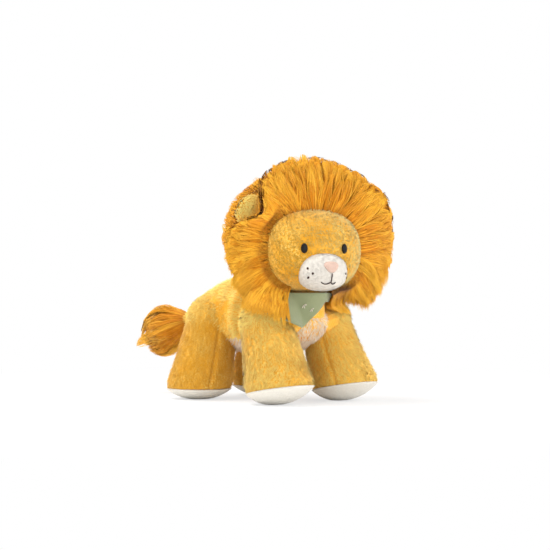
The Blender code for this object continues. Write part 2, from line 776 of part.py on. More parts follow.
def stitched_line(name, places, finish):
    """A round thread laid on the muzzle through places given as x and z."""
    angles = turn_angles(THREAD_SIDES)
    path = [on_surface(muzzle_front, x, z, STITCH_LIFT + THREAD_RADIUS) for x, z in places]
    rings = []
    for k, point in enumerate(path):
        ahead = path[min(k + 1, len(path) - 1)] - path[max(k - 1, 0)]
        ahead = ahead / np.linalg.norm(ahead)
        side = np.cross(ahead, (0, -1, 0))
        side = side / np.linalg.norm(side)
        out = np.cross(side, ahead)
        rings.append(np.array([point + THREAD_RADIUS * (math.cos(a) * side + math.sin(a) * out) for a in angles]))
    made = loft(name, rings, finish)
    made.matrix_world = head_frame()
    return made


def eye_outline(a):
    return EYE_HALF_WIDTH * np.cos(a), EYE_HALF_HEIGHT * np.sin(a)


def dot_outline(a):
    return DOT_RADIUS * np.cos(a), DOT_RADIUS * np.sin(a)


def nose_outline(a):
    """A rounded triangle, point down."""
    swell = 1 + NOSE_SWELL_SHARE * np.cos(3 * (a - math.pi / 2) + math.pi)
    return NOSE_HALF_WIDTH * swell * np.cos(a), NOSE_HALF_HEIGHT * swell * np.sin(a)


def make_face():
    """Eyes, nose, mouth and whisker dots, all stitched on the surface that carries them."""
    pieces = []
    for label, side in SIDES:
        centre = (side * EYE_SPACING / 2, EYE_RISE)
        pieces.append(stitched_patch("eye_" + label, head_front, centre, eye_outline, STITCH_HEIGHT, "thread_dark"))
        for k, (x, drop) in enumerate(DOT_PLACES, 1):
            name = f"whisker_dot_{label}_{k}"
            centre = (side * x, -drop)
            dot = stitched_patch(name, muzzle_front, centre, dot_outline, STITCH_HEIGHT, "thread_dark", DOT_SIDES)
            pieces.append(dot)
    pieces.append(stitched_patch("nose", muzzle_front, (0, -NOSE_DROP), nose_outline, NOSE_HEIGHT, "satin_pink"))
    shares = np.linspace(-1, 1, MOUTH_POINTS)
    sag = MOUTH_SAG * np.sin(math.pi * np.abs(shares)) ** MOUTH_ROUNDING
    mouth = stitched_line("mouth", list(zip(MOUTH_HALF_WIDTH * shares, -MOUTH_DROP - sag)), "thread_dark")
    groove_steps = np.linspace(GROOVE_TOP_DROP, MOUTH_DROP, GROOVE_POINTS)
    groove = stitched_line("groove", [(0, -drop) for drop in groove_steps], "thread_dark")
    carve(mouth, groove, "UNION")
    discard(groove)
    pieces.append(mouth)
    return pieces


# Mane and ears


def mane_radius(angle):
    """Outer reach of the mane from the head's long axis, at an angle from straight up."""
    even = MANE_MEAN_RADIUS + MANE_RISE * np.cos(angle) - MANE_SIDE_GROWTH * np.cos(2 * angle)
    return even + MANE_LEFT_GROWTH * np.sin(angle)


def near_ear(angle):
    """1 at the ears' angle and 0 well away from it."""
    return np.exp(-(((np.abs(angle) - EAR_ANGLE) / EAR_NOTCH_SPREAD) ** 2))


def ear_slot(angle, radius):
    """Half the width of the slot between the tiers, which opens round each ear."""
    rise = np.maximum(radius - HEAD_HALF_WIDTH, 0)
    return SEAM_GAP + near_ear(angle) * (EAR_SLOT_HALF_WIDTH + EAR_SLOT_SLOPE * rise)


def lock_wave(angle, count):
    """Rises and falls once for each lock of pile, as a share from -1 to 1."""
    return 2 * np.abs(np.sin(angle * count / 2)) ** LOCK_ROUNDING - 1


def head_point(angle, forward, radius):
    return np.stack([radius * np.sin(angle), -forward, radius * np.cos(angle)], axis=-1)


def moved_head_points(points):
    """Head-frame points in the row's frame at a spread of poses of the head's two joints."""
    place = np.array(head_frame())
    world = points @ place[:3, :3].T + place[:3, 3]
    centre = np.array((0, NECK_Y, NECK_BALL_Z))
    nod_axis = Matrix.Rotation(HEAD_YAW, 3, "Z") @ Vector((1, 0, 0))
    for turn in np.linspace(HEAD_TURN[0], HEAD_TURN[1], TURN_STEPS):
        for nod in np.linspace(HEAD_NOD[0], HEAD_NOD[1], NOD_STEPS):
            move = np.array(Matrix.Rotation(turn, 3, "Z") @ Matrix.Rotation(nod, 3, nod_axis))
            yield (world - centre) @ move.T + centre


def clear_of_body(points):
    """Tells which head-frame points stay clear of torso, shoulders and bandana whichever way the head moves."""
    clear = np.ones(points.shape[:-1], bool)
    for moved in moved_head_points(points):
        clear &= ~inside_torso(moved, MANE_CLEARANCE)
        clear &= ~inside_shoulders(moved, MANE_CLEARANCE)
        from_neck = np.hypot(moved[..., 0], moved[..., 1] - NECK_Y)
        collar = BANDANA_NECK_RADIUS + MANE_CLEARANCE
        clear &= (from_neck > collar) | (moved[..., 2] > BANDANA_TOP_Z + BANDANA_CLOTH)
    return clear


def settle(angle, forward, radius, least):
    """The largest radius up to the one asked for that stays clear of the body."""
    best = np.array(least, float)
    for share in np.linspace(0, 1, SETTLE_STEPS):
        candidate = least + (radius - least) * share
        clear = clear_of_body(head_point(angle, forward, candidate))
        best = np.where(clear, np.maximum(best, candidate), best)
    return best


def mane_tier(name, end, count, profile):
    """A horseshoe of pile from angle -end to end; profile gives its rings as forward and radius."""
    angles = np.linspace(-end, end, count)
    rings = [np.array(ring) for ring in zip(*[head_point(angles, f, r) for f, r in profile(angles)])]
    made = loft(name, rings, "pile_orange", flat_ends=True)
    made.matrix_world = head_frame()
    return made


def front_profile(angle):
    """Closed section of the front tier: along the head, up the rear face, over the tip, down the front face."""
    notch = near_ear(angle) * (angle < 0)
    reach = mane_radius(angle)
    reach = reach + (np.minimum(reach, EAR_NOTCH_RADIUS) - reach) * notch
    reach = reach * (1 + LOCK_DEPTH_SHARE * (lock_wave(angle, MANE_LOCKS) - 1) / 2 * (1 - notch))
    section = []
    span = MANE_SEAM_FORWARD - MANE_SPLIT_FORWARD
    for share in MANE_SEAM_SHARES:
        forward = MANE_SPLIT_FORWARD + span * share
        radius = head_radius(angle, forward) + SEAM_GAP + JOINT_GAP
        forward = np.maximum(forward, MANE_SPLIT_FORWARD + ear_slot(angle, radius)) + 0 * angle
        section.append((forward, head_radius(angle, forward) + SEAM_GAP + JOINT_GAP))
    base = section[1][1]
    for rise, ahead in MANE_FRONT_SHARES:
        radius = base + (reach - base) * rise
        rear = MANE_SPLIT_FORWARD + ear_slot(angle, radius)
        forward = rear + (MANE_SEAM_FORWARD + OVERRUN / 2 - rear) * ahead
        least = head_radius(angle, forward) + SEAM_GAP + MANE_MIN_THICKNESS * rise
        section.append((forward, settle(angle, forward, np.maximum(radius, least), least)))
    return section


def rear_profile(angle):
    """Closed section of the rear tier: along the head to the nape, then round the outside to the front."""
    reach = mane_radius(angle) - MANE_REAR_INSET
    reach = reach * (1 + LOCK_DEPTH_SHARE * (lock_wave(angle + math.pi / MANE_LOCKS, MANE_LOCKS) - 1) / 2)
    section = []
    gap = SEAM_GAP + JOINT_GAP
    base = head_radius(angle, MANE_SPLIT_FORWARD) + gap
    for turn in np.linspace(0, NAPE_TURN, NAPE_STEPS):
        rear = MANE_SPLIT_FORWARD - ear_slot(angle, base)
        forward = rear - (HEAD_HALF_DEPTH + gap + rear) * np.sin(turn)
        section.append((forward, head_radius(angle, forward, gap) + gap))
    for share, rise in MANE_REAR_SHARES:
        radius = reach * rise if share > MANE_CROWN_SHARE else base + (reach - base) * rise
        rear = MANE_SPLIT_FORWARD - ear_slot(angle, radius)
        forward = rear + (-MANE_BACK_REACH - rear) * share
        least = head_radius(angle, forward, OVERRUN) + MANE_MIN_THICKNESS * min(rise * 2, 1)
        section.append((forward, settle(angle, forward, np.maximum(radius, least), least)))
    return section


def ear_frame(side):
    """A frame at the middle of an ear: x across it, y through its thickness and z out from the head."""
    angle = side * EAR_ANGLE
    radius = float(head_radius(angle, MANE_SPLIT_FORWARD)) + JOINT_GAP + EAR_HALF_LENGTH
    centre = Vector((radius * math.sin(angle), -MANE_SPLIT_FORWARD, radius * math.cos(angle)))
    return head_frame() @ Matrix.Translation(centre) @ Matrix.Rotation(angle, 4, "Y")


def make_ear(label, side, carrier):
    """A rounded two-layer ear, a little hollow in front, and the empty on the axis that it folds about."""
    angles = turn_angles(TRIM_SIDES)
    rings = []
    for step in range(1, EAR_STEPS):
        tilt = math.pi * step / EAR_STEPS
        z = -EAR_HALF_LENGTH * math.cos(tilt)
        x = EAR_HALF_WIDTH * math.sin(tilt) ** EAR_ROUNDING * np.cos(angles)
        y = EAR_HALF_THICKNESS * math.sin(tilt) * np.sin(angles)
        y = y + np.where(np.sin(angles) < 0, EAR_HALF_THICKNESS * EAR_DISH_SHARE * math.sin(tilt) ** 2, 0)
        rings.append(np.stack([x, y, np.full_like(x, z)], axis=1))
    made = loft("ear_" + label, rings, "plush_yellow", [(0, 0, -EAR_HALF_LENGTH), (0, 0, EAR_HALF_LENGTH)])
    made.matrix_world = ear_frame(side)
    low = ear_frame(side) @ Vector((0, 0, EAR_PIVOT_RISE - EAR_HALF_LENGTH))
    hinge = pivot("ear_" + label + "_pivot", low, carrier, ear_frame(side).to_3x3().to_4x4())
    hang(made, hinge)


def make_mane():
    """Front tier round the face and rear tier over the back of the head."""
    front_count = int(MANE_LOCKS * MANE_STEPS_PER_LOCK * MANE_FRONT_END / math.pi)
    rear_count = int(MANE_LOCKS * MANE_STEPS_PER_LOCK * MANE_REAR_END / math.pi)
    front = mane_tier("mane_front", MANE_FRONT_END, front_count, front_profile)
    rear = mane_tier("mane_back", MANE_REAR_END, rear_count, rear_profile)
    return [front, rear]


# Tail


def tail_axis():
    """Direction of the stalk: back, a little down, and to the lion's right."""
    level = math.cos(TAIL_DROOP)
    return Vector((-level * math.sin(TAIL_SIDE_TURN), level * math.cos(TAIL_SIDE_TURN), -math.sin(TAIL_DROOP)))


def tuft_axis():
    """Direction of the tuft, which droops more than the stalk."""
    level = math.cos(TUFT_DROOP)
    return Vector((-level * math.sin(TAIL_SIDE_TURN), level * math.cos(TAIL_SIDE_TURN), -math.sin(TUFT_DROOP)))


def turned(name, centre, axis, profile, tips, finish, wave=None):
    """A body turned about an axis; profile lists distance along it, radius and share of the wave, tips its two ends."""
    count = TUFT_LOCKS * 3 if wave else TRIM_SIDES
    angles = turn_angles(count)
    side = axis.cross(UP).normalized()
    top = side.cross(axis).normalized()
    rings = []
    for along, radius, waving in profile:
        spread = radius * (1 + (wave(angles) if wave else 0) * waving)
        ring = np.outer(spread * np.cos(angles), side) + np.outer(spread * np.sin(angles), top)
        rings.append(ring + np.array(centre + axis * along))
    return loft(name, rings, finish, [tuple(centre + axis * along) for along in tips])


def tuft_wave(angles):
    """Depth of the grooves between the tuft's locks, as a share of its radius."""
    return TUFT_GROOVE_SHARE * (lock_wave(angles, TUFT_LOCKS) - 1) / 2


def make_tail():
    """Stalk with a ball at each end, and the tuft whose mouth sits over the far ball."""
    root = tail_root()
    axis = tail_axis()
    end = root + axis * TAIL_LENGTH
    quarter = math.pi / 2 / TAIL_BALL_STEPS
    profile = []
    for step in range(1, TAIL_BALL_STEPS + 1):
        profile.append((-TAIL_ROOT_RADIUS * math.cos(quarter * step), TAIL_ROOT_RADIUS * math.sin(quarter * step), 0))
    profile.append((TAIL_LENGTH * TAIL_WAIST_SHARE, TAIL_WAIST_RADIUS, 0))
    profile.append((TAIL_LENGTH - TAIL_END_RADIUS * TAIL_NECK_SHARE, TAIL_WAIST_RADIUS, 0))
    for step in range(TAIL_BALL_STEPS):
        along = TAIL_LENGTH + TAIL_END_RADIUS * math.sin(quarter * step)
        profile.append((along, TAIL_END_RADIUS * math.cos(quarter * step), 0))
    tips = (-TAIL_ROOT_RADIUS, TAIL_LENGTH + TAIL_END_RADIUS)
    stalk = turned("tail_skin", root, axis, profile, tips, "plush_yellow")
    pocket = TAIL_END_RADIUS + JOINT_GAP
    profile = []
    for step in range(TAIL_BALL_STEPS - 1, -1, -1):
        profile.append((pocket * math.sin(quarter * step), pocket * math.cos(quarter * step), 0))
    profile.append((TUFT_LENGTH * TUFT_MOUTH_SHARE, TUFT_MOUTH_RADIUS, 0))
    profile += [(TUFT_LENGTH * along, TUFT_RADIUS * swell, waving) for along, swell, waving in TUFT_SHARES]
    tuft = turned("tail_tuft", end, tuft_axis(), profile, (pocket, TUFT_LENGTH), "pile_orange", tuft_wave)
    swing = pivot("tail_pivot", root)
    flop = pivot("tail_tuft_pivot", end, swing, Matrix.Rotation(TAIL_SIDE_TURN, 4, "Z"))
    hang(stalk, swing)
    hang(tuft, flop)


# Bandana


def make_bandana():
    """A thin triangular cloth lying on the chest and shoulders, its ends at the sides of the neck."""
    spread = np.linspace(-1, 1, SHEET_COLUMNS)
    angles = BANDANA_TIP_ANGLE + BANDANA_HALF_SPREAD * spread
    drop = (BANDANA_TOP_Z - BANDANA_TIP_Z - BANDANA_END_DROP) * (1 - np.abs(spread)) + BANDANA_END_DROP
    shares = np.linspace(0, 1, SHEET_ROWS)
    z = BANDANA_TOP_Z - shares[:, None] * drop[None, :]
    direction = np.stack([np.sin(angles), -np.cos(angles)], axis=-1)
    reach = np.full(z.shape, BANDANA_NECK_RADIUS)
    for radius in np.linspace(0, BANDANA_REACH, REACH_STEPS):
        points = np.stack(
            [
                np.broadcast_to(direction[:, 0] * radius, z.shape),
                np.broadcast_to(NECK_Y + direction[:, 1] * radius, z.shape),
                z,
            ],
            axis=-1,
        )
        touched = inside_torso(points, BANDANA_LIFT) | inside_shoulders(points, BANDANA_LIFT)
        reach = np.where(touched, np.maximum(reach, radius), reach)
    beside = np.pad(reach, ((0, 0), (1, 1)), mode="edge")
    reach = np.maximum(reach, np.maximum(beside[:, :-2], beside[:, 2:]))
    taut = reach.copy()
    for _ in range(SHEET_SMOOTHINGS):
        padded = np.pad(taut, ((1, 1), (1, 1)), mode="edge")
        blurred = (padded[:-2, 1:-1] + padded[2:, 1:-1] + padded[1:-1, :-2] + padded[1:-1, 2:]) / 4
        taut = np.maximum(reach, blurred)

    def grid(offset):
        out = taut + offset
        return np.stack([direction[:, 0] * out, NECK_Y + direction[:, 1] * out, z], axis=-1)

    thick_sheet("bandana", grid(BANDANA_LIFT + BANDANA_CLOTH), grid(BANDANA_LIFT), "cloth_green")


def centre_on_floor():
    """Moves everything so that the origin lies on the floor under the middle of the part's box."""
    bpy.context.view_layer.update()
    pieces = [thing for thing in bpy.context.scene.objects if thing.type == "MESH"]
    corners = np.array([thing.matrix_world @ v.co for thing in pieces for v in thing.data.vertices])
    middle = (corners.min(axis=0) + corners.max(axis=0)) / 2
    shift = Matrix.Translation((-middle[0], -middle[1], -corners[:, 2].min()))
    for thing in bpy.context.scene.objects:
        if not thing.parent:
            thing.matrix_world = shift @ thing.matrix_world
    bpy.context.view_layer.update()


def make_all():
    clear_scene()
    make_torso()
    for end, front in (("front", True), ("rear", False)):
        for label, side in SIDES:
            make_leg(Leg(f"leg_{end}_{label}", side, front))
    neck = neck_post("neck_stuffing", 0)
    facing = Matrix.Rotation(HEAD_YAW, 4, "Z")
    turn = pivot("head_turn_pivot", (0, NECK_Y, NECK_BALL_Z), turn=facing)
    nod = pivot("head_nod_pivot", (0, NECK_Y, NECK_BALL_Z), turn, facing)
    hang(neck, turn)
    for piece in make_head() + make_face() + make_mane():
        hang(piece, nod)
    for label, side in SIDES:
        make_ear(label, side, nod)
    make_tail()
    make_bandana()
    centre_on_floor()


make_all()
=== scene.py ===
"""Looks of the plush lion: skins, pile, mane, stitched face, bandana and soles round the fixed frame.

Metres, +Z up, nose towards -Y. The shapes are worked out about a point on the floor between the four feet and moved
by PLACE into the frame. The head's own frame has x to the lion's left, y to its back and z up.
"""

import math

import bpy
import numpy as np
from mathutils import Matrix, Vector


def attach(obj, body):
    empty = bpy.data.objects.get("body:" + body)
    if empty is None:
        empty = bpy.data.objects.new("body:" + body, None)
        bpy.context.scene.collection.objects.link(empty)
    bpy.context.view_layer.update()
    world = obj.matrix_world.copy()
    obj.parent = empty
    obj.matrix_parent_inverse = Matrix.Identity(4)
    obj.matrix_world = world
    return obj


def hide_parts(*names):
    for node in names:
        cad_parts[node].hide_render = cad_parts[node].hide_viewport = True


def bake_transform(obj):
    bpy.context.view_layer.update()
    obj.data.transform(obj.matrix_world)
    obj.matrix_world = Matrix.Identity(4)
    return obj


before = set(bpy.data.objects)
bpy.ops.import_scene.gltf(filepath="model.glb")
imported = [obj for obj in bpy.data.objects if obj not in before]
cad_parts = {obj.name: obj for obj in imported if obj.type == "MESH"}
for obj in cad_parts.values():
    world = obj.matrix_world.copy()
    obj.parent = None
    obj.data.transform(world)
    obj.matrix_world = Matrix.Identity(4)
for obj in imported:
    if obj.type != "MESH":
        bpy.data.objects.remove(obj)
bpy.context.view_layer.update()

bl_info = {
    "name": "Plush lion",
    "version": (1, 0, 0),
    "blender": (4, 5, 0),
    "location": "3D View > Sidebar > Lion",
    "description": "Builds the skins, pile and stage of a plush lion round its frame",
    "category": "Add Mesh",
}

PLACE = np.array((-0.0064, -0.03143, 0.0))
PI = math.pi

# Torso
TORSO_HALF_LENGTH, TORSO_MIDDLE_Y, TORSO_AXIS_Z = 0.081, 0.009, 0.074
TORSO_HALF_WIDTHS, TORSO_HALF_HEIGHTS = (0.041, 0.045), (0.030, 0.040)
ARCH_RISE, ARCH_Y, ARCH_REACH = 0.011, 0.040, 0.036
TORSO_ROUNDNESS, END_FULLNESS, TAPER = 2.3, 0.60, 0.6
BELLY_HALF_WIDTH, BELLY_REAR_Y, BELLY_SIDE_Z, CHEST_SIDE_Y, CHEST_TOP_Z = 0.022, 0.060, 0.063, -0.048, 0.090
GATHER_Y, GATHER_REACH, GATHER_PITCH, GATHER_PHASE, GATHER_DEPTH = 0.0, 0.021, 0.0183, 3.8, 0.12

# Legs
LEG_TOP_RADIUS, LEG_FOOT_RADIUS, LEG_FLARE, HEM_TUCK, TUCK_SHARE = 0.027, 0.0355, 1.3, 0.002, 0.85
SHOULDER, HIP = (0.040, -0.038, 0.078), (0.036, 0.046, 0.079)
FOOT_X, FRONT_FOOT_Y, REAR_FOOT_Y = 0.044, -0.061, 0.057
FRONT_SOLE_DEPTH, REAR_SOLE_DEPTH, FRONT_TOE_SLOPE, SOLE_FULLNESS, FLOOR_CUT = 0.0135, 0.011, 0.177, 2.4, 0.0005
LEG_SWING, LEG_BEND = math.radians(15), (0.022, 0.026)
SOLE_IN, SOLE_BULGE, SOLE_CURVE, SOLE_RISE, SOLE_SUNK, FLOOR_GAP = 0.0012, 0.0006, 0.7, 0.0022, 0.0002, 0.0001
PILE_INSET, EAR_INSET, PILE_BURIED, PILE_OVERLAP = 0.0022, 0.0018, 0.0045, 0.002
CHEST_BACK, CHEST_LOW_BACK = 0.006, 0.009
LEG_BALLS = [
    (np.array(top) * (side, 1, 1), LEG_TOP_RADIUS - PILE_INSET, soft)
    for side in (-1, 1) for top, soft in ((SHOULDER, 0.008), (HIP, 0.016))
]
SEAM_WIDTH, SEAM_DEPTH = 0.055, 0.055

# Neck and head
NECK_Y, NECK_BALL_Z = -0.045, 0.103
SLEEVE_FOOT_Z, SLEEVE_HEIGHT, SLEEVE_RADIUS, SLEEVE_CLOSE = 0.080, 0.040, 0.0225, 0.15
HEAD_Y, HEAD_Z, HEAD_YAW = -0.050, 0.1465, math.radians(-22)
HEAD_HALF_WIDTH, HEAD_HALF_DEPTH, HEAD_HALF_HEIGHT, HEAD_ROUNDNESS = 0.052, 0.050, 0.042, 2.4
HEAD_INSET, HEAD_SHORTENED = 0.0014, 0.985
HEAD_TURN, HEAD_NOD = (math.radians(-8), math.radians(52)), (math.radians(-7), math.radians(7))
MUZZLE_HALF_WIDTH, MUZZLE_HALF_DEPTH, MUZZLE_HALF_HEIGHT = 0.0228, 0.024, 0.0178
MUZZLE_FORWARD, MUZZLE_DROP, MUZZLE_ROUNDNESS = 0.0415, 0.021, 2.3
EYE_X, EYE_Z, EYE_HALF_WIDTH, EYE_HALF_HEIGHT = 0.0205, 0.0010, 0.0031, 0.0048
NOSE_DROP, NOSE_HALF_WIDTH, NOSE_HALF_HEIGHT, NOSE_SWELL = 0.0163, 0.0070, 0.0053, 0.10
GROOVE_TOP, MOUTH_DROP, MOUTH_HALF_WIDTH, MOUTH_SAG = 0.0225, 0.0305, 0.0095, 0.0022
THREAD_RADIUS, THREAD_LIFT = 0.0005, 0.0008
DOT_RADIUS, DOT_PLACES = 0.0012, ((0.0200, 0.0180), (0.0168, 0.0228), (0.0194, 0.0266))
EYE_HEIGHT, NOSE_HEIGHT, DOT_HEIGHT, MUZZLE_STRANDS, MUZZLE_STRAND_WIDTH = 0.0017, 0.0024, 0.0011, 16000, 0.00022

# Mane
MANE_MEAN, MANE_RISE, MANE_SIDE, MANE_LEFT, MANE_REAR_INSET = 0.0765, 0.0165, 0.0065, 0.006, 0.001
MANE_SEAM, MANE_SPLIT, MANE_BACK, MANE_MIN, MANE_CLEARANCE = 0.023, -0.002, 0.072, 0.004, 0.0035
MANE_FRONT_END, MANE_REAR_END, NAPE_TURN, MANE_FRONT_PAST = *np.radians((146, 135, 88)), 0.16
MANE_ROOTS_END, MANE_LOCKS, LOCK_POINTS = 0.97, 260, 5
END_SHARE, END_SPAN, FORM_SHARES, FORM_COLUMNS = 0.12, 0.70, (0.72, 0.74), (48, 56)
LOW_FROM, LOW_SPAN, CHIN_FROM, CHIN_SPAN, NOTCH_AT, NOTCH_SPAN = np.radians((75, 45, 112, 22, 50, 17))
FRONT_SHARES = ((0.5, 0), (0.9, 0.02), (1, 0.22), (0.86, 0.48), (0.5, 0.80), (0.18, 0.97))
REAR_SHARES = (
    (1, 0.06), (0.98, 0.22), (0.93, 0.42), (0.8, 0.66), (0.6, 0.85), (0.35, 0.97), (0.15, 1), (0, 0.9), (0, 0.4),
)

# Ears
EAR_ANGLE, EAR_HALF_WIDTH, EAR_HALF_LENGTH, EAR_HALF_THICKNESS = math.radians(56), 0.0155, 0.0155, 0.005
EAR_NOTCH_RADIUS, EAR_SPREAD, EAR_SLOT, EAR_SLOPE, JOINT_GAP = 0.062, math.radians(15), 0.0040, 0.34, 0.0005
EAR_DISH, EAR_FULLNESS, EAR_STRANDS = 0.55, 0.8, 10000

# Tail
TAIL_ROOT_Z, TAIL_ROOT_RISE, TAIL_ROOT_RADIUS, TAIL_END_RADIUS, TAIL_WAIST = 0.079, 0.0065, 0.0085, 0.0075, 0.0060
TAIL_LENGTH, TAIL_TURN, TAIL_DROOP, TAIL_BEND = 0.022, math.radians(10), math.radians(4), (0.008, 0.010)
TUFT_LENGTH, TUFT_RADIUS, TUFT_DROOP, TUFT_LOCKS, TAIL_STRANDS = 0.062, 0.027, math.radians(20), 130, 2600
TUFT_SHARES = ((0.02, 0.42), (0.16, 0.72), (0.34, 0.93), (0.55, 1), (0.76, 0.9), (0.92, 0.62), (0.985, 0.25), (1, 0))

# Bandana
CLOTH_TIP, CLOTH_SPREAD = math.radians(-44), math.radians(92)
CLOTH_TOP_Z, CLOTH_TIP_Z, CLOTH_END_DROP, CLOTH_NECK_RADIUS = 0.1010, 0.0725, 0.004, 0.0290
CLOTH_THICKNESS, CLOTH_LIFT, CLOTH_REACH, CLOTH_TOP_RAISE = 0.0012, 0.0004, 0.080, 0.005
CLOTH_COLUMNS, CLOTH_ROWS, CLOTH_TIP_SPREAD, CLOTH_FLAT_LENGTH = 73, 25, 0.64, 0.170
CLOTH_TRIES, CLOTH_EVENINGS, CLOTH_CREASE, PUSH_TRIES, PUSH_STEP = 321, 14, 0.0007, 36, 0.0015
SPRIG_PLACES, SPRIG_REACH = ((0.05, 0.24), (-0.12, 0.66), (0.22, 0.52)), (0.030, 0.09)
LEAF_TURNS, LEAF_LENGTH, LEAF_WIDTH, LEAF_HEIGHT = (0.2, 1.3, 2.4), 0.0022, 0.0009, 0.0007

# Lay of the short pile and the locks
WANDER, WANDER_REACHES, HEADING_CHANCE = 0.5, (0.020, 0.0024), 0.12
LIFT, LIFT_DRIFT, LIFT_CHANCE, LIFT_ENDS, LIFT_BEND = 0.50, 0.22, 0.08, (0.15, 1.2), (0.25, -0.35)
STRAND_LENGTHS, STRAND_WIDTHS, STRAND_TAPER, ROOT_SUNK, CLUMP_PULL = (0.65, 1.15), (0.75, 1.2), 0.55, 0.0004, 0.7
SHADE_DRIFT, SHADE_REACHES, SHADE_CHANCE = 0.11, (0.03, 0.003), 0.05
# LOCK_TINT's second share is painted light that makes the low locks of the mane paler.
LOCK_LENGTHS, LOCK_WIDTHS, LOCK_TAPER, LOCK_TINT = (0.72, 1.06), (0.7, 1.25), 0.5, (0.36, 0.2, 0.14, 0.22)
MANE_PULLS, TUFT_PULLS, SCATTER_CELLS = (0.6, 0.95), (0.5, 0.9), 160
ROOT_CROWDING, ROOT_SHALLOW, ROOT_DEPTHS, LOCK_SPREADS = 0.85, 0.012, ((0.009, 0.4), (0.003, 0.9)), (0.065, 0.04, 0.13)
EAR_TUCK, EAR_TUCK_FROM, EAR_TUCK_SPAN, NAPE_FROM, NAPE_SPAN, NOTCH_DEPTH = 0.6, 0.12, 0.10, 0.42, 0.30, 0.38
LOCK_LEAN, LOCK_LIFT, LOCK_TRAVEL, LOCK_OVER = (0.035, 0.03, 0.012), (0.40, 0.30, 0.2), 0.88, (0.5, 1.5)
BOW_PLACE, BOW_HEIGHTS, HANG_POWER, CHIN_FORWARD, NAPE_BACK = 0.45, (0.005, 0.002), 1.6, 0.008, 0.004
LOCK_CLEARANCE, CHIN_PUSH, CHIN_FACING, MANE_SOFT, TUFT_SOFT = 0.0035, 0.85, (0, -0.5, 0.4), 0.45, 0.5
TUFT_ROOTS_END, TUFT_REACH, TUFT_ENDS, TUFT_THINNEST = 0.45, 0.62, (0.5, 1.06), 0.35

# Looks and stage
# Shares that make the face's copy of the yellow palette darker and less red: partly its own hue, partly painted shade.
FACE_SHADE_SHARES = 0.74, 0.82, 1.15
AMBIENT, FLOOR_GREY, FLOOR_HALF_SIDE = 0.78, 0.9, 4
GLOW_FROM, GLOW_TO, GLOW_LEAST = 0.25, 0.6, 0.62
LIGHT_AIM = 0, 0, 0.1
LIGHTS = (
    ("key", (1.0, -1.15, 0.6), 7.5, 1.0),
    ("low", (0.3, -1.5, 0.15), 7.5, 0.8),
    ("top", (-0.6, 0.45, 1.5), 25.0, 1.3),
    ("fill", (-1.4, -0.2, 0.6), 2.4, 1.2),
)
CAMERA_TURN, CAMERA_RISE = math.radians(-43), math.radians(4)
CAMERA_AIM, CAMERA_SPAN, SENSOR_WIDTH = (0.005, 0.124), 0.550, 36


def linear(red, green, blue):
    """A colour written as 0 to 255 on a screen, as the linear shares that a finish takes."""
    share = np.array((red, green, blue)) / 255
    return tuple(float(x) for x in np.where(share > 0.04045, ((share + 0.055) / 1.055) ** 2.4, share / 12.92))


def colour_of(name, text, shade):
    """A colour of its own, given as it looks on a screen."""
    return bpy.props.FloatVectorProperty(
        name=name, description=text, subtype="COLOR", size=3, min=0, max=1, default=linear(*shade)
    )


def length_of(name, text, metres):
    """A length in metres."""
    return bpy.props.FloatProperty(name=name, description=text, subtype="DISTANCE", unit="LENGTH", default=metres)


def count_of(name, text, number):
    """A number of strands."""
    return bpy.props.IntProperty(name=name, description=text, default=number, min=1)


class LionSizes(bpy.types.PropertyGroup):
    """Lengths and counts of the pile, and the stage's distances."""

    body_pile: length_of("Body pile", "Length of the short pile on torso and legs", 0.0052)
    face_pile: length_of("Face pile", "Length of the short pile on the head", 0.0042)
    velvet_pile: length_of("Velvet pile", "Length of the white pile on muzzle and belly", 0.0020)
    strand_width: length_of("Strand width", "Half the width of a short strand at its root", 0.00026)
    mane_overhang: length_of("Mane overhang", "How far the mane's tips reach past its padded form", 0.0028)
    mane_strand_width: length_of("Mane strand width", "Half the width of a mane strand at its root", 0.00042)
    torso_strands: count_of("Torso strands", "Number of strands on the torso", 54000)
    leg_strands: count_of("Leg strands", "Number of strands on each leg", 27000)
    head_strands: count_of("Head strands", "Number of strands on the head", 19000)
    mane_length: length_of("Mane length", "Length of the mane's pile", 0.028)
    mane_hang: length_of("Mane hang", "How far the lowest locks hang by their own weight", 0.018)
    mane_strands: count_of("Mane strands", "Number of strands in each half of a tier of the mane", 8800)
    tuft_strands: count_of("Tuft strands", "Number of strands in the tail's tuft", 7500)
    camera_distance: length_of("Camera distance", "How far the camera stands from the lion", 1.5)


class LionColours(bpy.types.PropertyGroup):
    """Colours of the cloths, the pile and the threads."""

    # Each root colour darkens its pile towards the roots: painted shade deep in the pile and between its clumps.
    plush_root: colour_of("Plush root", "Short yellow pile at its roots", (230, 158, 48))
    plush_deep: colour_of("Plush deep", "Short yellow pile where it is deepest in colour", (238, 167, 40))
    plush_pale: colour_of("Plush pale", "Short yellow pile where it is palest", (255, 224, 122))
    mane_root: colour_of("Mane root", "Long orange pile at its roots", (150, 82, 14))
    mane_deep: colour_of("Mane deep", "Long orange pile in its darker locks", (214, 132, 10))
    mane_pale: colour_of("Mane pale", "Long orange pile at its paler locks", (253, 190, 56))
    cream_root: colour_of("Cream root", "Belly pile at its roots", (226, 196, 172))
    cream_pale: colour_of("Cream pale", "Belly pile at its tips", (248, 228, 204))
    white_root: colour_of("White root", "Muzzle pile at its roots", (218, 211, 200))
    white_pale: colour_of("White pale", "Muzzle pile at its tips", (228, 222, 212))
    sole: colour_of("Sole", "Brushed cloth of the soles", (232, 227, 216))
    nose: colour_of("Nose", "Satin thread of the nose", (230, 196, 178))
    thread: colour_of("Thread", "Dark thread of eyes, mouth and dots", (6, 6, 8))
    mouth: colour_of("Mouth", "Brown thread of the mouth", (62, 40, 36))
    cloth: colour_of("Cloth", "Green cloth of the bandana", (144, 151, 114))
    motif: colour_of("Motif", "Pale thread of the bandana's sprigs", (236, 226, 206))


# Shapes as functions of two parameters


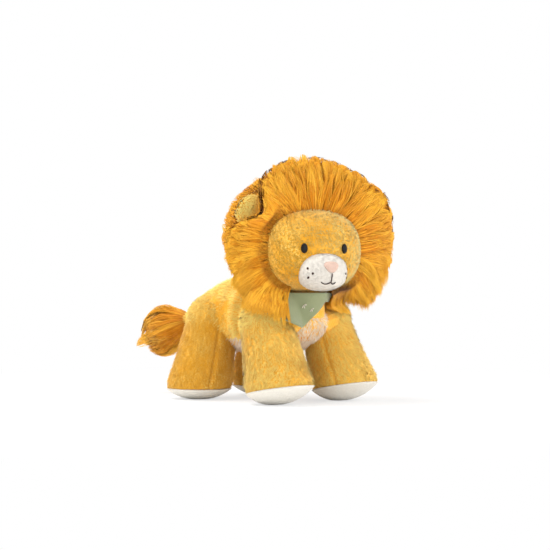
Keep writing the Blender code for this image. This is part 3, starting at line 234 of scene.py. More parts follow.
def ease(share):
    """Smooth step from 0 to 1."""
    share = np.clip(share, 0, 1)
    return share * share * (3 - 2 * share)


def signed_power(values, power):
    """The size of each value to a power, with the value's own sign."""
    return np.sign(values) * np.abs(values) ** power


def joined(*parts):
    """Numbers side by side along a new last axis, each spread to the shape of the widest."""
    return np.stack(np.broadcast_arrays(*parts), axis=-1)


def unit(vectors):
    """Each vector over its own length."""
    return vectors / np.maximum(np.linalg.norm(vectors, axis=-1, keepdims=True), 1e-12)


def root_of(values):
    """Square root, and 0 below 0."""
    return np.sqrt(np.maximum(values, 0))


def bell(away, reach):
    """1 at no distance, falling off by the bell curve."""
    return np.exp(-((away / reach) ** 2))


def closing(share, steep):
    """1 along the middle and down to 0 by a round at both ends."""
    return np.minimum(1, steep * root_of(share * (1 - share)))


def out_and_in(v):
    """From 0 up to 1 at half way and back to 0."""
    return np.where(v < 0.5, 2 * v, 2 - 2 * v)


def oval(turn, half_x, half_z, roundness):
    """Superellipse: each coordinate is its half size times the cosine or sine to the power 2 over the roundness."""
    power = 2 / roundness
    return half_x * signed_power(np.cos(turn), power), half_z * signed_power(np.sin(turn), power)


def torso_section(y, grow=0.0):
    """Middle height and half sizes at y: front to rear sizes by a smooth step, times the fullness towards the ends."""
    along = np.clip((y - TORSO_MIDDLE_Y) / (TORSO_HALF_LENGTH + grow), -1, 1)
    fullness = (1 - along**2) ** (END_FULLNESS / 2)
    rear = ease((along + TAPER) / (2 * TAPER))
    width = TORSO_HALF_WIDTHS[0] + (TORSO_HALF_WIDTHS[1] - TORSO_HALF_WIDTHS[0]) * rear + grow
    height = TORSO_HALF_HEIGHTS[0] + (TORSO_HALF_HEIGHTS[1] - TORSO_HALF_HEIGHTS[0]) * rear + grow
    middle = TORSO_AXIS_Z + ARCH_RISE * bell(y - ARCH_Y, ARCH_REACH)
    return middle, width * fullness, height * fullness


def drawn_back(y, z):
    """How far the plush chest stands behind the solid one: nothing at mid length, most below the bandana."""
    return (CHEST_BACK + CHEST_LOW_BACK * ease((0.080 - z) / 0.03)) * ease((-0.012 - y) / 0.055)


def torso(u, v):
    """Superellipse sections along Y, u round each and v from chest to rump, drawn in by gathers behind the shoulders.

    Each point is then let out, square to the long axis, on to the legs' balls, with soft creases between.
    """
    turn = 2 * PI * u
    y = TORSO_MIDDLE_Y - TORSO_HALF_LENGTH * np.cos(PI * v)
    middle, half_width, half_height = torso_section(y)
    window = bell(y - GATHER_Y, GATHER_REACH) * ease(1.1 + np.sin(turn))
    wave = np.sin(2 * PI * y / GATHER_PITCH + GATHER_PHASE + 0.5 * np.sin(2 * turn))
    gather = 1 + GATHER_DEPTH * window * (wave - 1) / 2
    trim = np.maximum(1 - PILE_INSET / np.maximum(half_width, 1e-4), 0.3) * gather
    x, z = oval(turn, half_width * trim, half_height * trim, TORSO_ROUNDNESS)
    reach = np.maximum(np.hypot(x, z), 1e-6)
    heading = joined(x / reach, 0, z / reach)
    skin = joined(x, y, z + middle)
    skin[..., 1] += drawn_back(skin[..., 1], skin[..., 2])
    best = 0 * reach
    for out in np.linspace(0.0005, 0.033, 40):
        inside = np.zeros(x.shape, bool)
        for top, radius, soft in LEG_BALLS:
            ball = np.linalg.norm(skin + heading * out - top, axis=-1) - radius
            crease = np.maximum(soft - np.abs(ball - out), 0) ** 2 / (4 * soft)
            inside |= np.minimum(ball, out) - crease < 0
        best = np.where(inside, out, best)
    return skin + heading * best[..., None]


def in_torso(points, grow):
    """Which points lie inside the torso moved out by grow."""
    middle, half_width, half_height = torso_section(points[..., 1], grow)
    across = np.abs(points[..., 0]) / np.maximum(half_width, 1e-4)
    up = np.abs(points[..., 2] - middle) / np.maximum(half_height, 1e-4)
    within = np.abs(points[..., 1] - TORSO_MIDDLE_Y) < TORSO_HALF_LENGTH + grow
    return within & (across**TORSO_ROUNDNESS + up**TORSO_ROUNDNESS < 1)


def in_plush(points, grow):
    """Which points lie inside the torso with its chest drawn back, moved out by grow."""
    back = 0 * points[..., 1]
    for _ in range(3):
        back = drawn_back(points[..., 1] - back, points[..., 2])
    return in_torso(points - back[..., None] * (0, 1, 0), grow)


def in_belly(points, grow=0.0):
    """Which points of the torso belong to the cream panel."""
    x, y, z = points[..., 0], points[..., 1], points[..., 2]
    low = (z < BELLY_SIDE_Z - 0.0015 + grow) & (y < BELLY_REAR_Y + grow)
    chest = (z < CHEST_TOP_Z + grow) & (y < CHEST_SIDE_Y + grow) & (np.abs(x) < BELLY_HALF_WIDTH + grow)
    return low | chest


class Leg:
    """One leg: a ball at the top, then level rings that move out and widen down to the hem."""

    crown, hem = 0.3, 0.9

    def __init__(self, end, label):
        self.name = f"leg_{end}_{label}"
        self.side = 1 if label == "left" else -1
        self.front = end == "front"
        reach = SHOULDER if self.front else HIP
        self.top = np.array((self.side * reach[0], reach[1], reach[2]))
        self.foot_y = FRONT_FOOT_Y if self.front else REAR_FOOT_Y
        self.slope = FRONT_TOE_SLOPE if self.front else 0.0
        self.depth = FRONT_SOLE_DEPTH if self.front else REAR_SOLE_DEPTH
        radius = LEG_FOOT_RADIUS - HEM_TUCK
        probe = np.linspace(-1, 1, 201)
        pillow = self.depth * (1 - np.abs(probe) ** SOLE_FULLNESS)
        self.seam_z = -(-self.slope * probe * radius - pillow).min() - FLOOR_CUT
        seam = (-0.875 * self.side, -0.484) if self.front else (0.358 * self.side, -0.933)
        self.seam_turn = math.atan2(seam[1], seam[0])

    def fall(self, share):
        """Middle and radius at a share of the way down: an even move, a radius that grows by a power, less the tuck."""
        foot = np.array((self.side * FOOT_X, self.foot_y, self.seam_z))
        centre = self.top + (foot - self.top) * share[..., None]
        radius = LEG_TOP_RADIUS + (LEG_FOOT_RADIUS - LEG_TOP_RADIUS) * share**LEG_FLARE
        return centre, radius - HEM_TUCK * ease((share - TUCK_SHARE) / (1 - TUCK_SHARE))

    def near_seam(self, turn):
        """1 on the sewn seam that runs down the leg and 0 away from it."""
        away = (turn - self.seam_turn + PI) % (2 * PI) - PI
        return bell(away, SEAM_WIDTH)

    def skin(self, u, v):
        """Dome from v 0 to crown, fall to the hem, then a flat close inside the sole; drawn in along the seam."""
        turn = 2 * PI * u
        tilt = np.clip(v / self.crown, 0, 1) * PI / 2
        share = np.clip((v - self.crown) / (self.hem - self.crown), 0, 1)
        under = np.clip((v - self.hem) / (1 - self.hem), 0, 1)
        centre, radius = self.fall(share)
        ball = LEG_TOP_RADIUS - PILE_INSET
        radius = np.where(v < self.crown, ball * np.sin(tilt), (radius - PILE_INSET) * (1 - under))
        radius = radius * (1 - SEAM_DEPTH * self.near_seam(turn) * ease(3 * share))
        x, y = radius * np.cos(turn), radius * np.sin(turn)
        z = centre[..., 2] + np.where(v < self.crown, ball * np.cos(tilt), 0) - share**2 * self.slope * y
        return joined(centre[..., 0] + x, centre[..., 1] + y, z + 0.002 * under)

    def sole(self, u, v):
        """A pillow: its lower half drops by a power of the radius, flat on the floor, its upper half lies inside."""
        share = out_and_in(v)
        centre, radius = self.fall(np.ones_like(v))
        radius = (radius - SOLE_IN + SOLE_BULGE * np.sin(PI * np.clip(v, 0, 1))) * share**SOLE_CURVE
        x, y = radius * np.cos(2 * PI * u), radius * np.sin(2 * PI * u)
        low = -self.depth * (1 - (share**SOLE_CURVE) ** SOLE_FULLNESS) - SOLE_SUNK
        z = centre[..., 2] - self.slope * y + np.where(v < 0.5, low, SOLE_RISE * (1 - share**2))
        return joined(centre[..., 0] + x, centre[..., 1] + y, np.maximum(z, FLOOR_GAP))

    def holds(self, points, grow):
        """Which points lie inside the leg moved out by grow."""
        ball = ((points - self.top) ** 2).sum(axis=-1) < (LEG_TOP_RADIUS + grow) ** 2
        share = np.clip((self.top[2] - points[..., 2]) / (self.top[2] - self.seam_z), 0, 1)
        centre, radius = self.fall(share)
        beside = np.hypot(points[..., 0] - centre[..., 0], points[..., 1] - centre[..., 1]) < radius + grow
        return ball | (beside & (points[..., 2] < self.top[2]))


LEGS = [Leg(end, label) for end in ("front", "rear") for label in ("left", "right")]


def turned(points, centre, matrix):
    """Points turned by a matrix about a centre."""
    return (points - centre) @ np.array(matrix).T + centre


def in_shoulders(points, grow):
    """Which points lie inside the front legs at some part of their swing."""
    return np.any([
        leg.holds(turned(points, leg.top, Matrix.Rotation(-swing, 3, "X")), grow)
        for leg in LEGS[:2] for swing in (-LEG_SWING, 0, LEG_SWING)
    ], axis=0)


def in_legs(points, grow):
    """Which points lie inside any of the legs moved out by grow."""
    return np.any([leg.holds(points, grow) for leg in LEGS], axis=0)


HEAD_FRAME = np.array(Matrix.Translation((0, HEAD_Y, HEAD_Z)) @ Matrix.Rotation(HEAD_YAW, 4, "Z"))


def from_head(points):
    """Points in the head's frame, moved to where the head stands."""
    return points @ HEAD_FRAME[:3, :3].T + HEAD_FRAME[:3, 3]


def to_head(points):
    """Points where the head stands, moved back to the head's frame."""
    return (points - HEAD_FRAME[:3, 3]) @ HEAD_FRAME[:3, :3]


def head_radius(angle, forward, grow=0.0):
    """Distance from the head's long axis: the superellipsoid's section at forward, in the angle's direction."""
    along = np.clip(np.abs(forward) / (HEAD_HALF_DEPTH + grow), 0, 1)
    section = (1 - along**HEAD_ROUNDNESS) ** (1 / HEAD_ROUNDNESS)
    across = (np.abs(np.sin(angle)) / (HEAD_HALF_WIDTH + grow)) ** HEAD_ROUNDNESS
    up = (np.abs(np.cos(angle)) / (HEAD_HALF_HEIGHT + grow)) ** HEAD_ROUNDNESS
    return section * (across + up) ** (-1 / HEAD_ROUNDNESS)


def head_point(angle, forward, radius):
    """Head-frame place at a radius from the long axis, with the angle from straight up."""
    return joined(radius * np.sin(angle), -forward, radius * np.cos(angle))


def head(u, v):
    """Superellipsoid from the face at v 0 to the nape at v 1, u the angle from straight up."""
    forward = HEAD_HALF_DEPTH * np.cos(PI * v)
    inset = HEAD_INSET * (1 - 0.5 * np.abs(np.cos(PI * v)))
    radius = np.maximum(head_radius(2 * PI * u, forward) - inset, 0)
    return from_head(head_point(2 * PI * u, forward * HEAD_SHORTENED, radius))


def muzzle(u, v):
    """Smaller superellipsoid set low on the face."""
    along = np.cos(PI * v)
    left = (1 - np.abs(along) ** MUZZLE_ROUNDNESS) ** (1 / MUZZLE_ROUNDNESS)
    x, z = oval(2 * PI * u, MUZZLE_HALF_WIDTH * left, MUZZLE_HALF_HEIGHT * left, MUZZLE_ROUNDNESS)
    return from_head(joined(x, -MUZZLE_FORWARD - MUZZLE_HALF_DEPTH * along, z - MUZZLE_DROP))


def beside(x, z, roundness):
    """The superellipse's sum for x and z in half sizes: less than 1 inside it."""
    return np.abs(x) ** roundness + np.abs(z) ** roundness


def beside_head(x, z):
    """The superellipse's sum for the head's outline from the front."""
    return beside(x / HEAD_HALF_WIDTH, z / HEAD_HALF_HEIGHT, HEAD_ROUNDNESS)


def beside_muzzle(x, z):
    """The same for the muzzle's outline."""
    return beside(x / MUZZLE_HALF_WIDTH, (z + MUZZLE_DROP) / MUZZLE_HALF_HEIGHT, MUZZLE_ROUNDNESS)


def head_front(x, z):
    """How far forward the face stands at x and z."""
    return HEAD_HALF_DEPTH * np.maximum(1 - beside_head(x, z), 0) ** (1 / HEAD_ROUNDNESS)


def muzzle_front(x, z):
    """How far forward the muzzle stands at x and z."""
    return MUZZLE_FORWARD + MUZZLE_HALF_DEPTH * np.maximum(1 - beside_muzzle(x, z), 0) ** (1 / MUZZLE_ROUNDNESS)


def on_muzzle(x, z):
    """Places of the thread's middle on the muzzle."""
    return from_head(joined(x, -muzzle_front(x, z) - THREAD_LIFT, z))


def patch(front, centre, outline, height):
    """A stitched patch: its outline shrunk to the middle, domed by a root of 1 less a power of the share."""

    def surface(u, v):
        share = out_and_in(v)
        x, z = outline(2 * PI * u)
        x, z = centre[0] + share * x, centre[1] + share * z
        rise = np.where(v < 0.5, height * root_of(1 - share**2.6), -0.0006 * (1 - share**2))
        return from_head(joined(x, -front(x, z) - 0.0002 - rise, z))

    return surface


def ellipse(half_x, half_z):
    """Half sizes times cosine and sine."""
    return lambda turn: (half_x * np.cos(turn), half_z * np.sin(turn))


def nose_outline(turn):
    """An ellipse swollen three times round, which makes a rounded triangle with its point down."""
    swell = 1 + NOSE_SWELL * np.cos(3 * (turn - PI / 2) + PI)
    return NOSE_HALF_WIDTH * swell * np.cos(turn), NOSE_HALF_HEIGHT * swell * np.sin(turn)


def tube(path, radius):
    """A round thread along a smooth path, u round it and v along it, drawn to a point at both ends."""

    def surface(u, v):
        at = np.clip(v, 0, 1)
        line = path(at)
        ahead = unit(path(np.minimum(at + 0.01, 1)) - path(np.maximum(at - 0.01, 0)))
        side = unit(np.cross(ahead, HEAD_FRAME[:3, :3] @ (0, -1, 0)))
        around = radius * closing(at, 6)[..., None]
        turn = (2 * PI * u)[..., None]
        return line + around * (np.cos(turn) * side + np.sin(turn) * np.cross(side, ahead))

    return surface


def mouth_path(at):
    """Two sagging strokes that meet under the groove, the one on the lion's left half as long."""
    share = 2 * at - 1
    x = MOUTH_HALF_WIDTH * share * np.where(share > 0, 0.5, 1)
    z = -MOUTH_DROP - MOUTH_SAG * np.sin(PI * np.abs(share)) ** 0.8
    return on_muzzle(x, z)


def groove_path(at):
    """The upright stitch from the nose to the mouth."""
    return on_muzzle(0 * at, -GROOVE_TOP - (MOUTH_DROP - GROOVE_TOP) * at)


def mane_radius(angle):
    """Outer reach of the mane: a mean, more above than below, less at the sides, more on the lion's left."""
    return MANE_MEAN + MANE_RISE * np.cos(angle) - MANE_SIDE * np.cos(2 * angle) + MANE_LEFT * np.sin(angle)


def near_ear(angle):
    """1 at the angle of either ear, falling off to both sides."""
    return bell(np.abs(angle) - EAR_ANGLE, EAR_SPREAD)


def ear_slot(angle, radius):
    """Half the gap between the tiers, which opens round each ear."""
    return 0.0003 + near_ear(angle) * (EAR_SLOT + EAR_SLOPE * np.maximum(radius - HEAD_HALF_WIDTH, 0))


def clear_of_body(points):
    """Which head-frame points stay clear of torso, shoulders and bandana however the head turns and nods."""
    world, clear = from_head(points), np.ones(points.shape[:-1], bool)
    centre = np.array((0, NECK_Y, NECK_BALL_Z))
    nod_axis = Vector(HEAD_FRAME[:3, 0])
    for turn in np.linspace(*HEAD_TURN, 5):
        for nod in np.linspace(*HEAD_NOD, 3):
            moved = turned(world, centre, Matrix.Rotation(turn, 3, "Z") @ Matrix.Rotation(nod, 3, nod_axis))
            clear &= ~in_torso(moved, MANE_CLEARANCE) & ~in_shoulders(moved, MANE_CLEARANCE)
            from_neck = np.hypot(moved[..., 0], moved[..., 1] - NECK_Y)
            clear &= (from_neck > CLOTH_NECK_RADIUS + MANE_CLEARANCE) | (moved[..., 2] > CLOTH_TOP_Z + CLOTH_THICKNESS)
    return clear


def settled(angle, forward, radius, least):
    """The largest radius between least and the one asked for that stays clear of the body."""
    best = np.array(least, float)
    for share in np.linspace(0, 1, 21):
        candidate = least + (radius - least) * share
        best = np.where(clear_of_body(head_point(angle, forward, candidate)), np.maximum(best, candidate), best)
    return best


TABLE_ANGLES = np.linspace(-PI, PI, 121)


def front_section(angle):
    """Outer points of the front tier's section as forward and radius, from its rear face over the rim to the seam."""
    notch = near_ear(angle) * (angle < 0)
    reach = mane_radius(angle)
    reach = reach + (np.minimum(reach, EAR_NOTCH_RADIUS) - reach) * notch
    base = head_radius(angle, (MANE_SEAM + MANE_SPLIT) / 2) + 0.0008
    section = []
    for rise, ahead in FRONT_SHARES:
        radius = base + (reach - base) * rise
        rear = MANE_SPLIT + ear_slot(angle, radius)
        forward = rear + (MANE_SEAM + 0.002 - rear) * ahead
        least = head_radius(angle, forward) + 0.0003 + MANE_MIN * rise
        section.append((forward, settled(angle, forward, np.maximum(radius, least), least)))
    return section


def rear_section(angle):
    """Outer points of the rear tier's section as forward and radius, from the nape over the crown to its front face."""
    reach = mane_radius(angle) - MANE_REAR_INSET
    base = head_radius(angle, MANE_SPLIT) + 0.0008
    section = []
    for share, rise in REAR_SHARES:
        radius = reach * rise if share > 0.3 else base + (reach - base) * rise
        rear = MANE_SPLIT - ear_slot(angle, radius)
        forward = rear + (-MANE_BACK - rear) * share
        least = head_radius(angle, forward, 0.004) + MANE_MIN * min(rise * 2, 1)
        section.append((forward, settled(angle, forward, np.maximum(radius, least), least)))
    return section


FRONT_TABLE = np.array(front_section(TABLE_ANGLES)).transpose(0, 2, 1)
REAR_TABLE = np.array(rear_section(TABLE_ANGLES)).transpose(0, 2, 1)


def between(grid, row, column):
    """Values between a grid's rows and columns, by straight lines."""
    row, column = np.clip(row, 0, grid.shape[0] - 1), np.clip(column, 0, grid.shape[1] - 1)
    low = np.minimum(row.astype(int), grid.shape[0] - 2)
    left = np.minimum(column.astype(int), grid.shape[1] - 2)
    down, across = (row - low)[..., None], (column - left)[..., None]
    upper = grid[low, left] * (1 - across) + grid[low, left + 1] * across
    lower = grid[low + 1, left] * (1 - across) + grid[low + 1, left + 1] * across
    return upper * (1 - down) + lower * down


def looked_up(table, angle, row):
    """Forward and radius between the table's rows and angles."""
    found = between(table, row, (np.clip(angle, -PI, PI) + PI) / (2 * PI) * (len(TABLE_ANGLES) - 1))
    return found[..., 0], found[..., 1]


def mane_form(table, end, share, rear):
    """The padded form under the pile: the tier's section pulled in towards the head, v along the horseshoe."""
    rows = len(table)

    def surface(u, v):
        angle = (2 * np.clip(v, 0, 1) - 1) * end
        step = u % 1 * (rows + 3)
        forward, radius = looked_up(table, angle, np.minimum(step, rows - 1))
        back = np.clip((step - (rows - 1)) / 4, 0, 1)
        first, last = looked_up(table, angle, 0 * step), looked_up(table, angle, 0 * step + rows - 1)
        if rear:
            turn = back * NAPE_TURN
            along = MANE_SPLIT - 0.001 - (HEAD_HALF_DEPTH + MANE_SPLIT) * np.sin(turn)
        else:
            along = last[0] + (first[0] - last[0]) * back
        forward = np.where(step > rows - 1, along, forward)
        if not rear:
            forward = first[0] + 0.001 + (forward - first[0]) * 0.78
        inner = head_radius(angle, forward) - 0.001
        radius = np.where(step > rows - 1, inner, inner + (radius - inner) * share)
        radius = inner + (radius - inner) * closing(v, 5)
        return from_head(head_point(angle, forward, radius))

    return surface


def along_section(table, angle, row):
    """Place, direction along and outward normal of a tier's section, from small steps of the row."""
    step = 0.02
    forward, radius = looked_up(table, angle, row)
    next_forward, next_radius = looked_up(table, angle, row - step)
    last_forward, last_radius = looked_up(table, angle, row + step)
    run = unit(joined(next_forward - last_forward, next_radius - last_radius))
    heading = head_point(angle, run[:, 0], run[:, 1])
    normal = head_point(angle, run[:, 1], -run[:, 0])
    return head_point(angle, forward, radius), heading, normal


def front_line(angle, share):
    """Along the front tier from the seam at 0 to the rim at 1 and down its rear face to 2.

    Gives the place, direction, normal and the length from seam to rim.
    """
    row = np.interp(share, (0, 0.2, 0.45, 0.75, 1.0, 2.0), (5.0, 5.0, 4.0, 3.0, 2.0, 0.05))
    place, heading, normal = along_section(FRONT_TABLE, angle, np.minimum(row, 4.9))
    seam = head_point(angle, 0 * angle + MANE_SEAM, head_radius(angle, 0 * angle + MANE_SEAM) - 0.003)
    low = ease(share / 0.2)[:, None]
    rim = looked_up(FRONT_TABLE, angle, 2 + 0 * share)[1]
    heading = heading * np.where(share > 1, -0.5, 0.5)[:, None] + head_point(angle, 0 * angle - 0.15, 0 * angle + 0.5)
    return seam + (place - seam) * low, heading, normal, np.maximum(rim - HEAD_HALF_HEIGHT, 0.012)


def rear_line(angle, share):
    """Along the rear tier from the ears' side at 0 over the crown to the nape at 1, as for the front tier."""
    row = np.interp(share, (0, 0.10, 0.17, 0.28, 0.42, 0.56, 0.72, 0.86, 1.0), (8, 7, 6, 5, 4, 3, 2, 1, 0.05))
    place, heading, normal = along_section(REAR_TABLE, angle, row)
    crown = looked_up(REAR_TABLE, angle, 6 + 0 * share)[1]
    return place, heading, normal, 1.5 * crown


def ear_frame(side):
    """The frame at the middle of an ear: x across it, y through it and z out from the head."""
    angle = side * EAR_ANGLE
    radius = float(head_radius(np.array(angle), MANE_SPLIT)) + JOINT_GAP + EAR_HALF_LENGTH
    centre = Vector((radius * math.sin(angle), -MANE_SPLIT, radius * math.cos(angle)))
    return np.array(Matrix(HEAD_FRAME) @ Matrix.Translation(centre) @ Matrix.Rotation(angle, 4, "Y"))


def ear(side):
    """A flat oval from base to tip, v up it, with its front pressed in towards the middle and a rounded rim."""
    place = ear_frame(side)

    def surface(u, v):
        turn, tilt = 2 * PI * u, PI * v
        z = (EAR_INSET / 2 - EAR_HALF_LENGTH) * np.cos(tilt) - EAR_INSET / 2
        x = EAR_HALF_WIDTH * np.sin(tilt) ** EAR_FULLNESS * np.cos(turn)
        y = EAR_HALF_THICKNESS * np.sin(tilt) * signed_power(np.sin(turn), EAR_FULLNESS)
        dish = np.maximum(1 - (x / EAR_HALF_WIDTH) ** 2 - (z / EAR_HALF_LENGTH) ** 2, 0)
        y = y + np.where(np.sin(turn) < 0, EAR_DISH * EAR_HALF_THICKNESS * dish, 0)
        return joined(x, y, z) @ place[:3, :3].T + place[:3, 3]

    return surface


def direction(droop):
    """Level direction back and to the lion's right, turned down by the droop."""
    level = math.cos(droop)
    return np.array((-level * math.sin(TAIL_TURN), level * math.cos(TAIL_TURN), -math.sin(droop)))


def rump_root():
    """Where the tail starts, just off the rump at the tail's height."""
    y = np.linspace(TORSO_MIDDLE_Y, TORSO_MIDDLE_Y + TORSO_HALF_LENGTH, 4001)
    inside = in_torso(joined(0, y, TAIL_ROOT_Z), 0)
    return np.array((0, y[inside][-1] + TAIL_ROOT_RISE, TAIL_ROOT_Z))


TAIL_ROOT = rump_root()
TAIL_END = TAIL_ROOT + direction(TAIL_DROOP) * TAIL_LENGTH


def around(centre, axis, along, radius, turn):
    """Points at a distance along an axis and a radius from it."""
    side = unit(np.cross(axis, (0, 0, 1)))
    top = np.cross(side, axis)
    spread = radius[..., None] * (np.cos(turn)[..., None] * side + np.sin(turn)[..., None] * top)
    return centre + along[..., None] * axis + spread


def stalk(u, v):
    """A turned stalk: a ball at each end by quarter circles, and a waist between."""
    start, end = -TAIL_ROOT_RADIUS, TAIL_LENGTH + TAIL_END_RADIUS
    along = start + (end - start) * (1 - np.cos(PI * v)) / 2
    low = root_of(TAIL_ROOT_RADIUS**2 - along**2)
    high = root_of(TAIL_END_RADIUS**2 - (along - TAIL_LENGTH) ** 2)
    waist = np.where((along > 0) & (along < TAIL_LENGTH), TAIL_WAIST + 0.0008, 0)
    return around(TAIL_ROOT, direction(TAIL_DROOP), along, np.maximum(np.maximum(low, high), waist), 2 * PI * u)


def tuft_radius(share):
    """Straight lines between the drop's radii from its start to its tip."""
    return TUFT_RADIUS * np.interp(share, *np.array(TUFT_SHARES).T)


def tuft(u, v):
    """The padded form under the tuft's pile: a turned drop with shallow grooves."""
    share = (1 - np.cos(PI * v)) / 2
    radius = 0.8 * tuft_radius(share) * np.minimum(1, 4 * root_of(share))
    radius = radius * (0.96 + 0.04 * np.cos(24 * PI * u))
    return around(TAIL_END, direction(TUFT_DROOP), 0.004 + 0.86 * TUFT_LENGTH * share, radius, 2 * PI * u)


def neck(u, v):
    """A short plush sleeve from the chest into the head, closed at both ends."""
    z = SLEEVE_FOOT_Z + SLEEVE_HEIGHT * np.clip((v - SLEEVE_CLOSE) / (1 - 2 * SLEEVE_CLOSE), 0, 1)
    radius = SLEEVE_RADIUS * np.minimum(1, np.minimum(v, 1 - v) / SLEEVE_CLOSE)
    return joined(radius * np.cos(2 * PI * u), NECK_Y + radius * np.sin(2 * PI * u), z)


def belly_strip(u, v):
    """A strip round chest and belly: rays from inside the torso meet its skin, which is let out a little."""
    turn, fan = 2 * PI * u, np.radians(-22 + 182 * v)
    width = BELLY_HALF_WIDTH * (1 + 0.5 * ease((fan - 1.0) / 0.7))
    width = width * closing(v, 4)
    ray = joined(0, -np.cos(fan), -np.sin(fan))
    middle = joined(width * np.sin(turn), -0.020, TORSO_AXIS_Z)
    near, far = 0 * fan, 0 * fan + 0.12
    for _ in range(24):
        half = (near + far) / 2
        inside = in_plush(middle + ray * half[..., None], 0.0004 - PILE_INSET)
        near, far = np.where(inside, half, near), np.where(inside, far, half)
    return middle + ray * (near + 0.0006 * np.cos(turn))[..., None]


def cloth_grid(top=0.0):
    """The bandana: columns run down from the neck, pressed on to torso and shoulders, then evened out as taut cloth.

    Its top edge is raised by the top length, but for the lion's right end. Also gives each point's flat place.
    """
    spread = np.linspace(-1, 1, CLOTH_COLUMNS)
    angle = CLOTH_TIP + CLOTH_SPREAD * spread
    depth = CLOTH_TOP_Z - CLOTH_TIP_Z - CLOTH_END_DROP
    drop = depth * np.maximum(1 - np.abs(spread) / CLOTH_TIP_SPREAD, 0) + CLOTH_END_DROP
    share = np.linspace(0, 1, CLOTH_ROWS)[:, None]
    z = CLOTH_TOP_Z - share * drop
    heading = joined(np.sin(angle), -np.cos(angle))
    reach = CLOTH_NECK_RADIUS - 0.005 * share + 0 * z
    for radius in np.linspace(0, CLOTH_REACH, CLOTH_TRIES):
        place = joined(heading[:, 0] * radius, NECK_Y + heading[:, 1] * radius, z)
        touched = in_plush(place, CLOTH_LIFT) | in_shoulders(place, CLOTH_LIFT)
        reach = np.where(touched, np.maximum(reach, radius), reach)
    beside = np.pad(reach, ((0, 0), (1, 1)), mode="edge")
    reach = np.maximum(reach, np.maximum(beside[:, :-2], beside[:, 2:]))
    taut = reach.copy()
    for _ in range(CLOTH_EVENINGS):
        wide = np.pad(taut, ((1, 1), (1, 1)), mode="edge")
        taut = np.maximum(reach, (wide[:-2, 1:-1] + wide[2:, 1:-1] + wide[1:-1, :-2] + wide[1:-1, 2:]) / 4)
    crease = CLOTH_CREASE * np.sin(9 * spread + 5 * share) * share * (1 - np.abs(spread)) + CLOTH_CREASE * share
    out = taut + CLOTH_LIFT + crease
    z = z + top * (1 - share) * (1 - ease((-spread - 0.45) / 0.2))
    points = joined(heading[:, 0] * out, NECK_Y + heading[:, 1] * out, z)
    flat = joined(spread, 1 - share * drop / drop.max())
    return points, flat


CLOTH_GRID = cloth_grid()[0]
CLOTH_OUT = np.hypot(CLOTH_GRID[..., 0], CLOTH_GRID[..., 1] - NECK_Y)


def pushed_out(points, grow, forward):
    """Points that would lie in torso, shoulders or bandana, moved level until they lie on them.

    They move away from the neck, and by the forward share towards where the face looks.
    """
    low = points[..., 2].min(axis=-1) < CLOTH_TOP_Z + 0.03
    moved, share = points[low], forward[low][:, None, None]
    for _ in range(PUSH_TRIES):
        offset = moved[..., :2] - (0, NECK_Y)
        radius = np.maximum(np.linalg.norm(offset, axis=-1), 1e-6)
        column = (np.arctan2(offset[..., 0], -offset[..., 1]) - CLOTH_TIP) / CLOTH_SPREAD
        over = (np.abs(column) < 1) & (moved[..., 2] < CLOTH_TOP_Z + 0.006)
        place = ((np.clip(column, -1, 1) + 1) / 2 * (CLOTH_COLUMNS - 1)).astype(int)
        row = (CLOTH_GRID[:, place, 2] > moved[..., 2]).sum(axis=0).clip(0, CLOTH_ROWS - 1)
        inside = over & (radius < CLOTH_OUT[row, place] + grow)
        inside |= in_plush(moved, grow) | in_shoulders(moved, grow)
        heading = offset / radius[..., None] * (1 - share) - share * HEAD_FRAME[:2, 1]
        moved[..., :2] += heading * (PUSH_STEP * inside)[..., None]
    result = points.copy()
    result[low] = moved
    return result


def on_cloth(spread, share):
    """Places on the bandana between its grid points."""
    return between(CLOTH_GRID, share * (CLOTH_ROWS - 1), (spread + 1) / 2 * (CLOTH_COLUMNS - 1))


def leaf(spread, share, turn):
    """One satin-stitched leaf of a sprig: a pointed oval lying on the bandana, domed above it and flat below."""

    def surface(u, v):
        size = out_and_in(v)
        along = size * LEAF_LENGTH * np.cos(2 * PI * u)
        across = size * LEAF_WIDTH * signed_power(np.sin(2 * PI * u), 1.6)
        right = along * np.cos(turn) - across * np.sin(turn)
        down = along * np.sin(turn) + across * np.cos(turn)
        place = on_cloth(spread + right / 0.085, share + down / 0.028)
        rise = CLOTH_THICKNESS + np.where(v < 0.5, LEAF_HEIGHT * root_of(1 - size**2), -0.0002)
        out = (place - (0, NECK_Y, 0)) * (1, 1, 0)
        return place + unit(out) * rise[..., None]

    return surface


# Making meshes


def outward(points, groups):
    """Turns every face round if the closed body that they make is inside out, told by the sign of its volume."""
    volume = 0.0
    for faces in groups:
        for k in range(1, faces.shape[1] - 1):
            a, b, c = points[faces[:, 0]], points[faces[:, k]], points[faces[:, k + 1]]
            volume += np.einsum("ij,ij->", a, np.cross(b, c))
    return groups if volume > 0 else [faces[:, ::-1] for faces in groups]


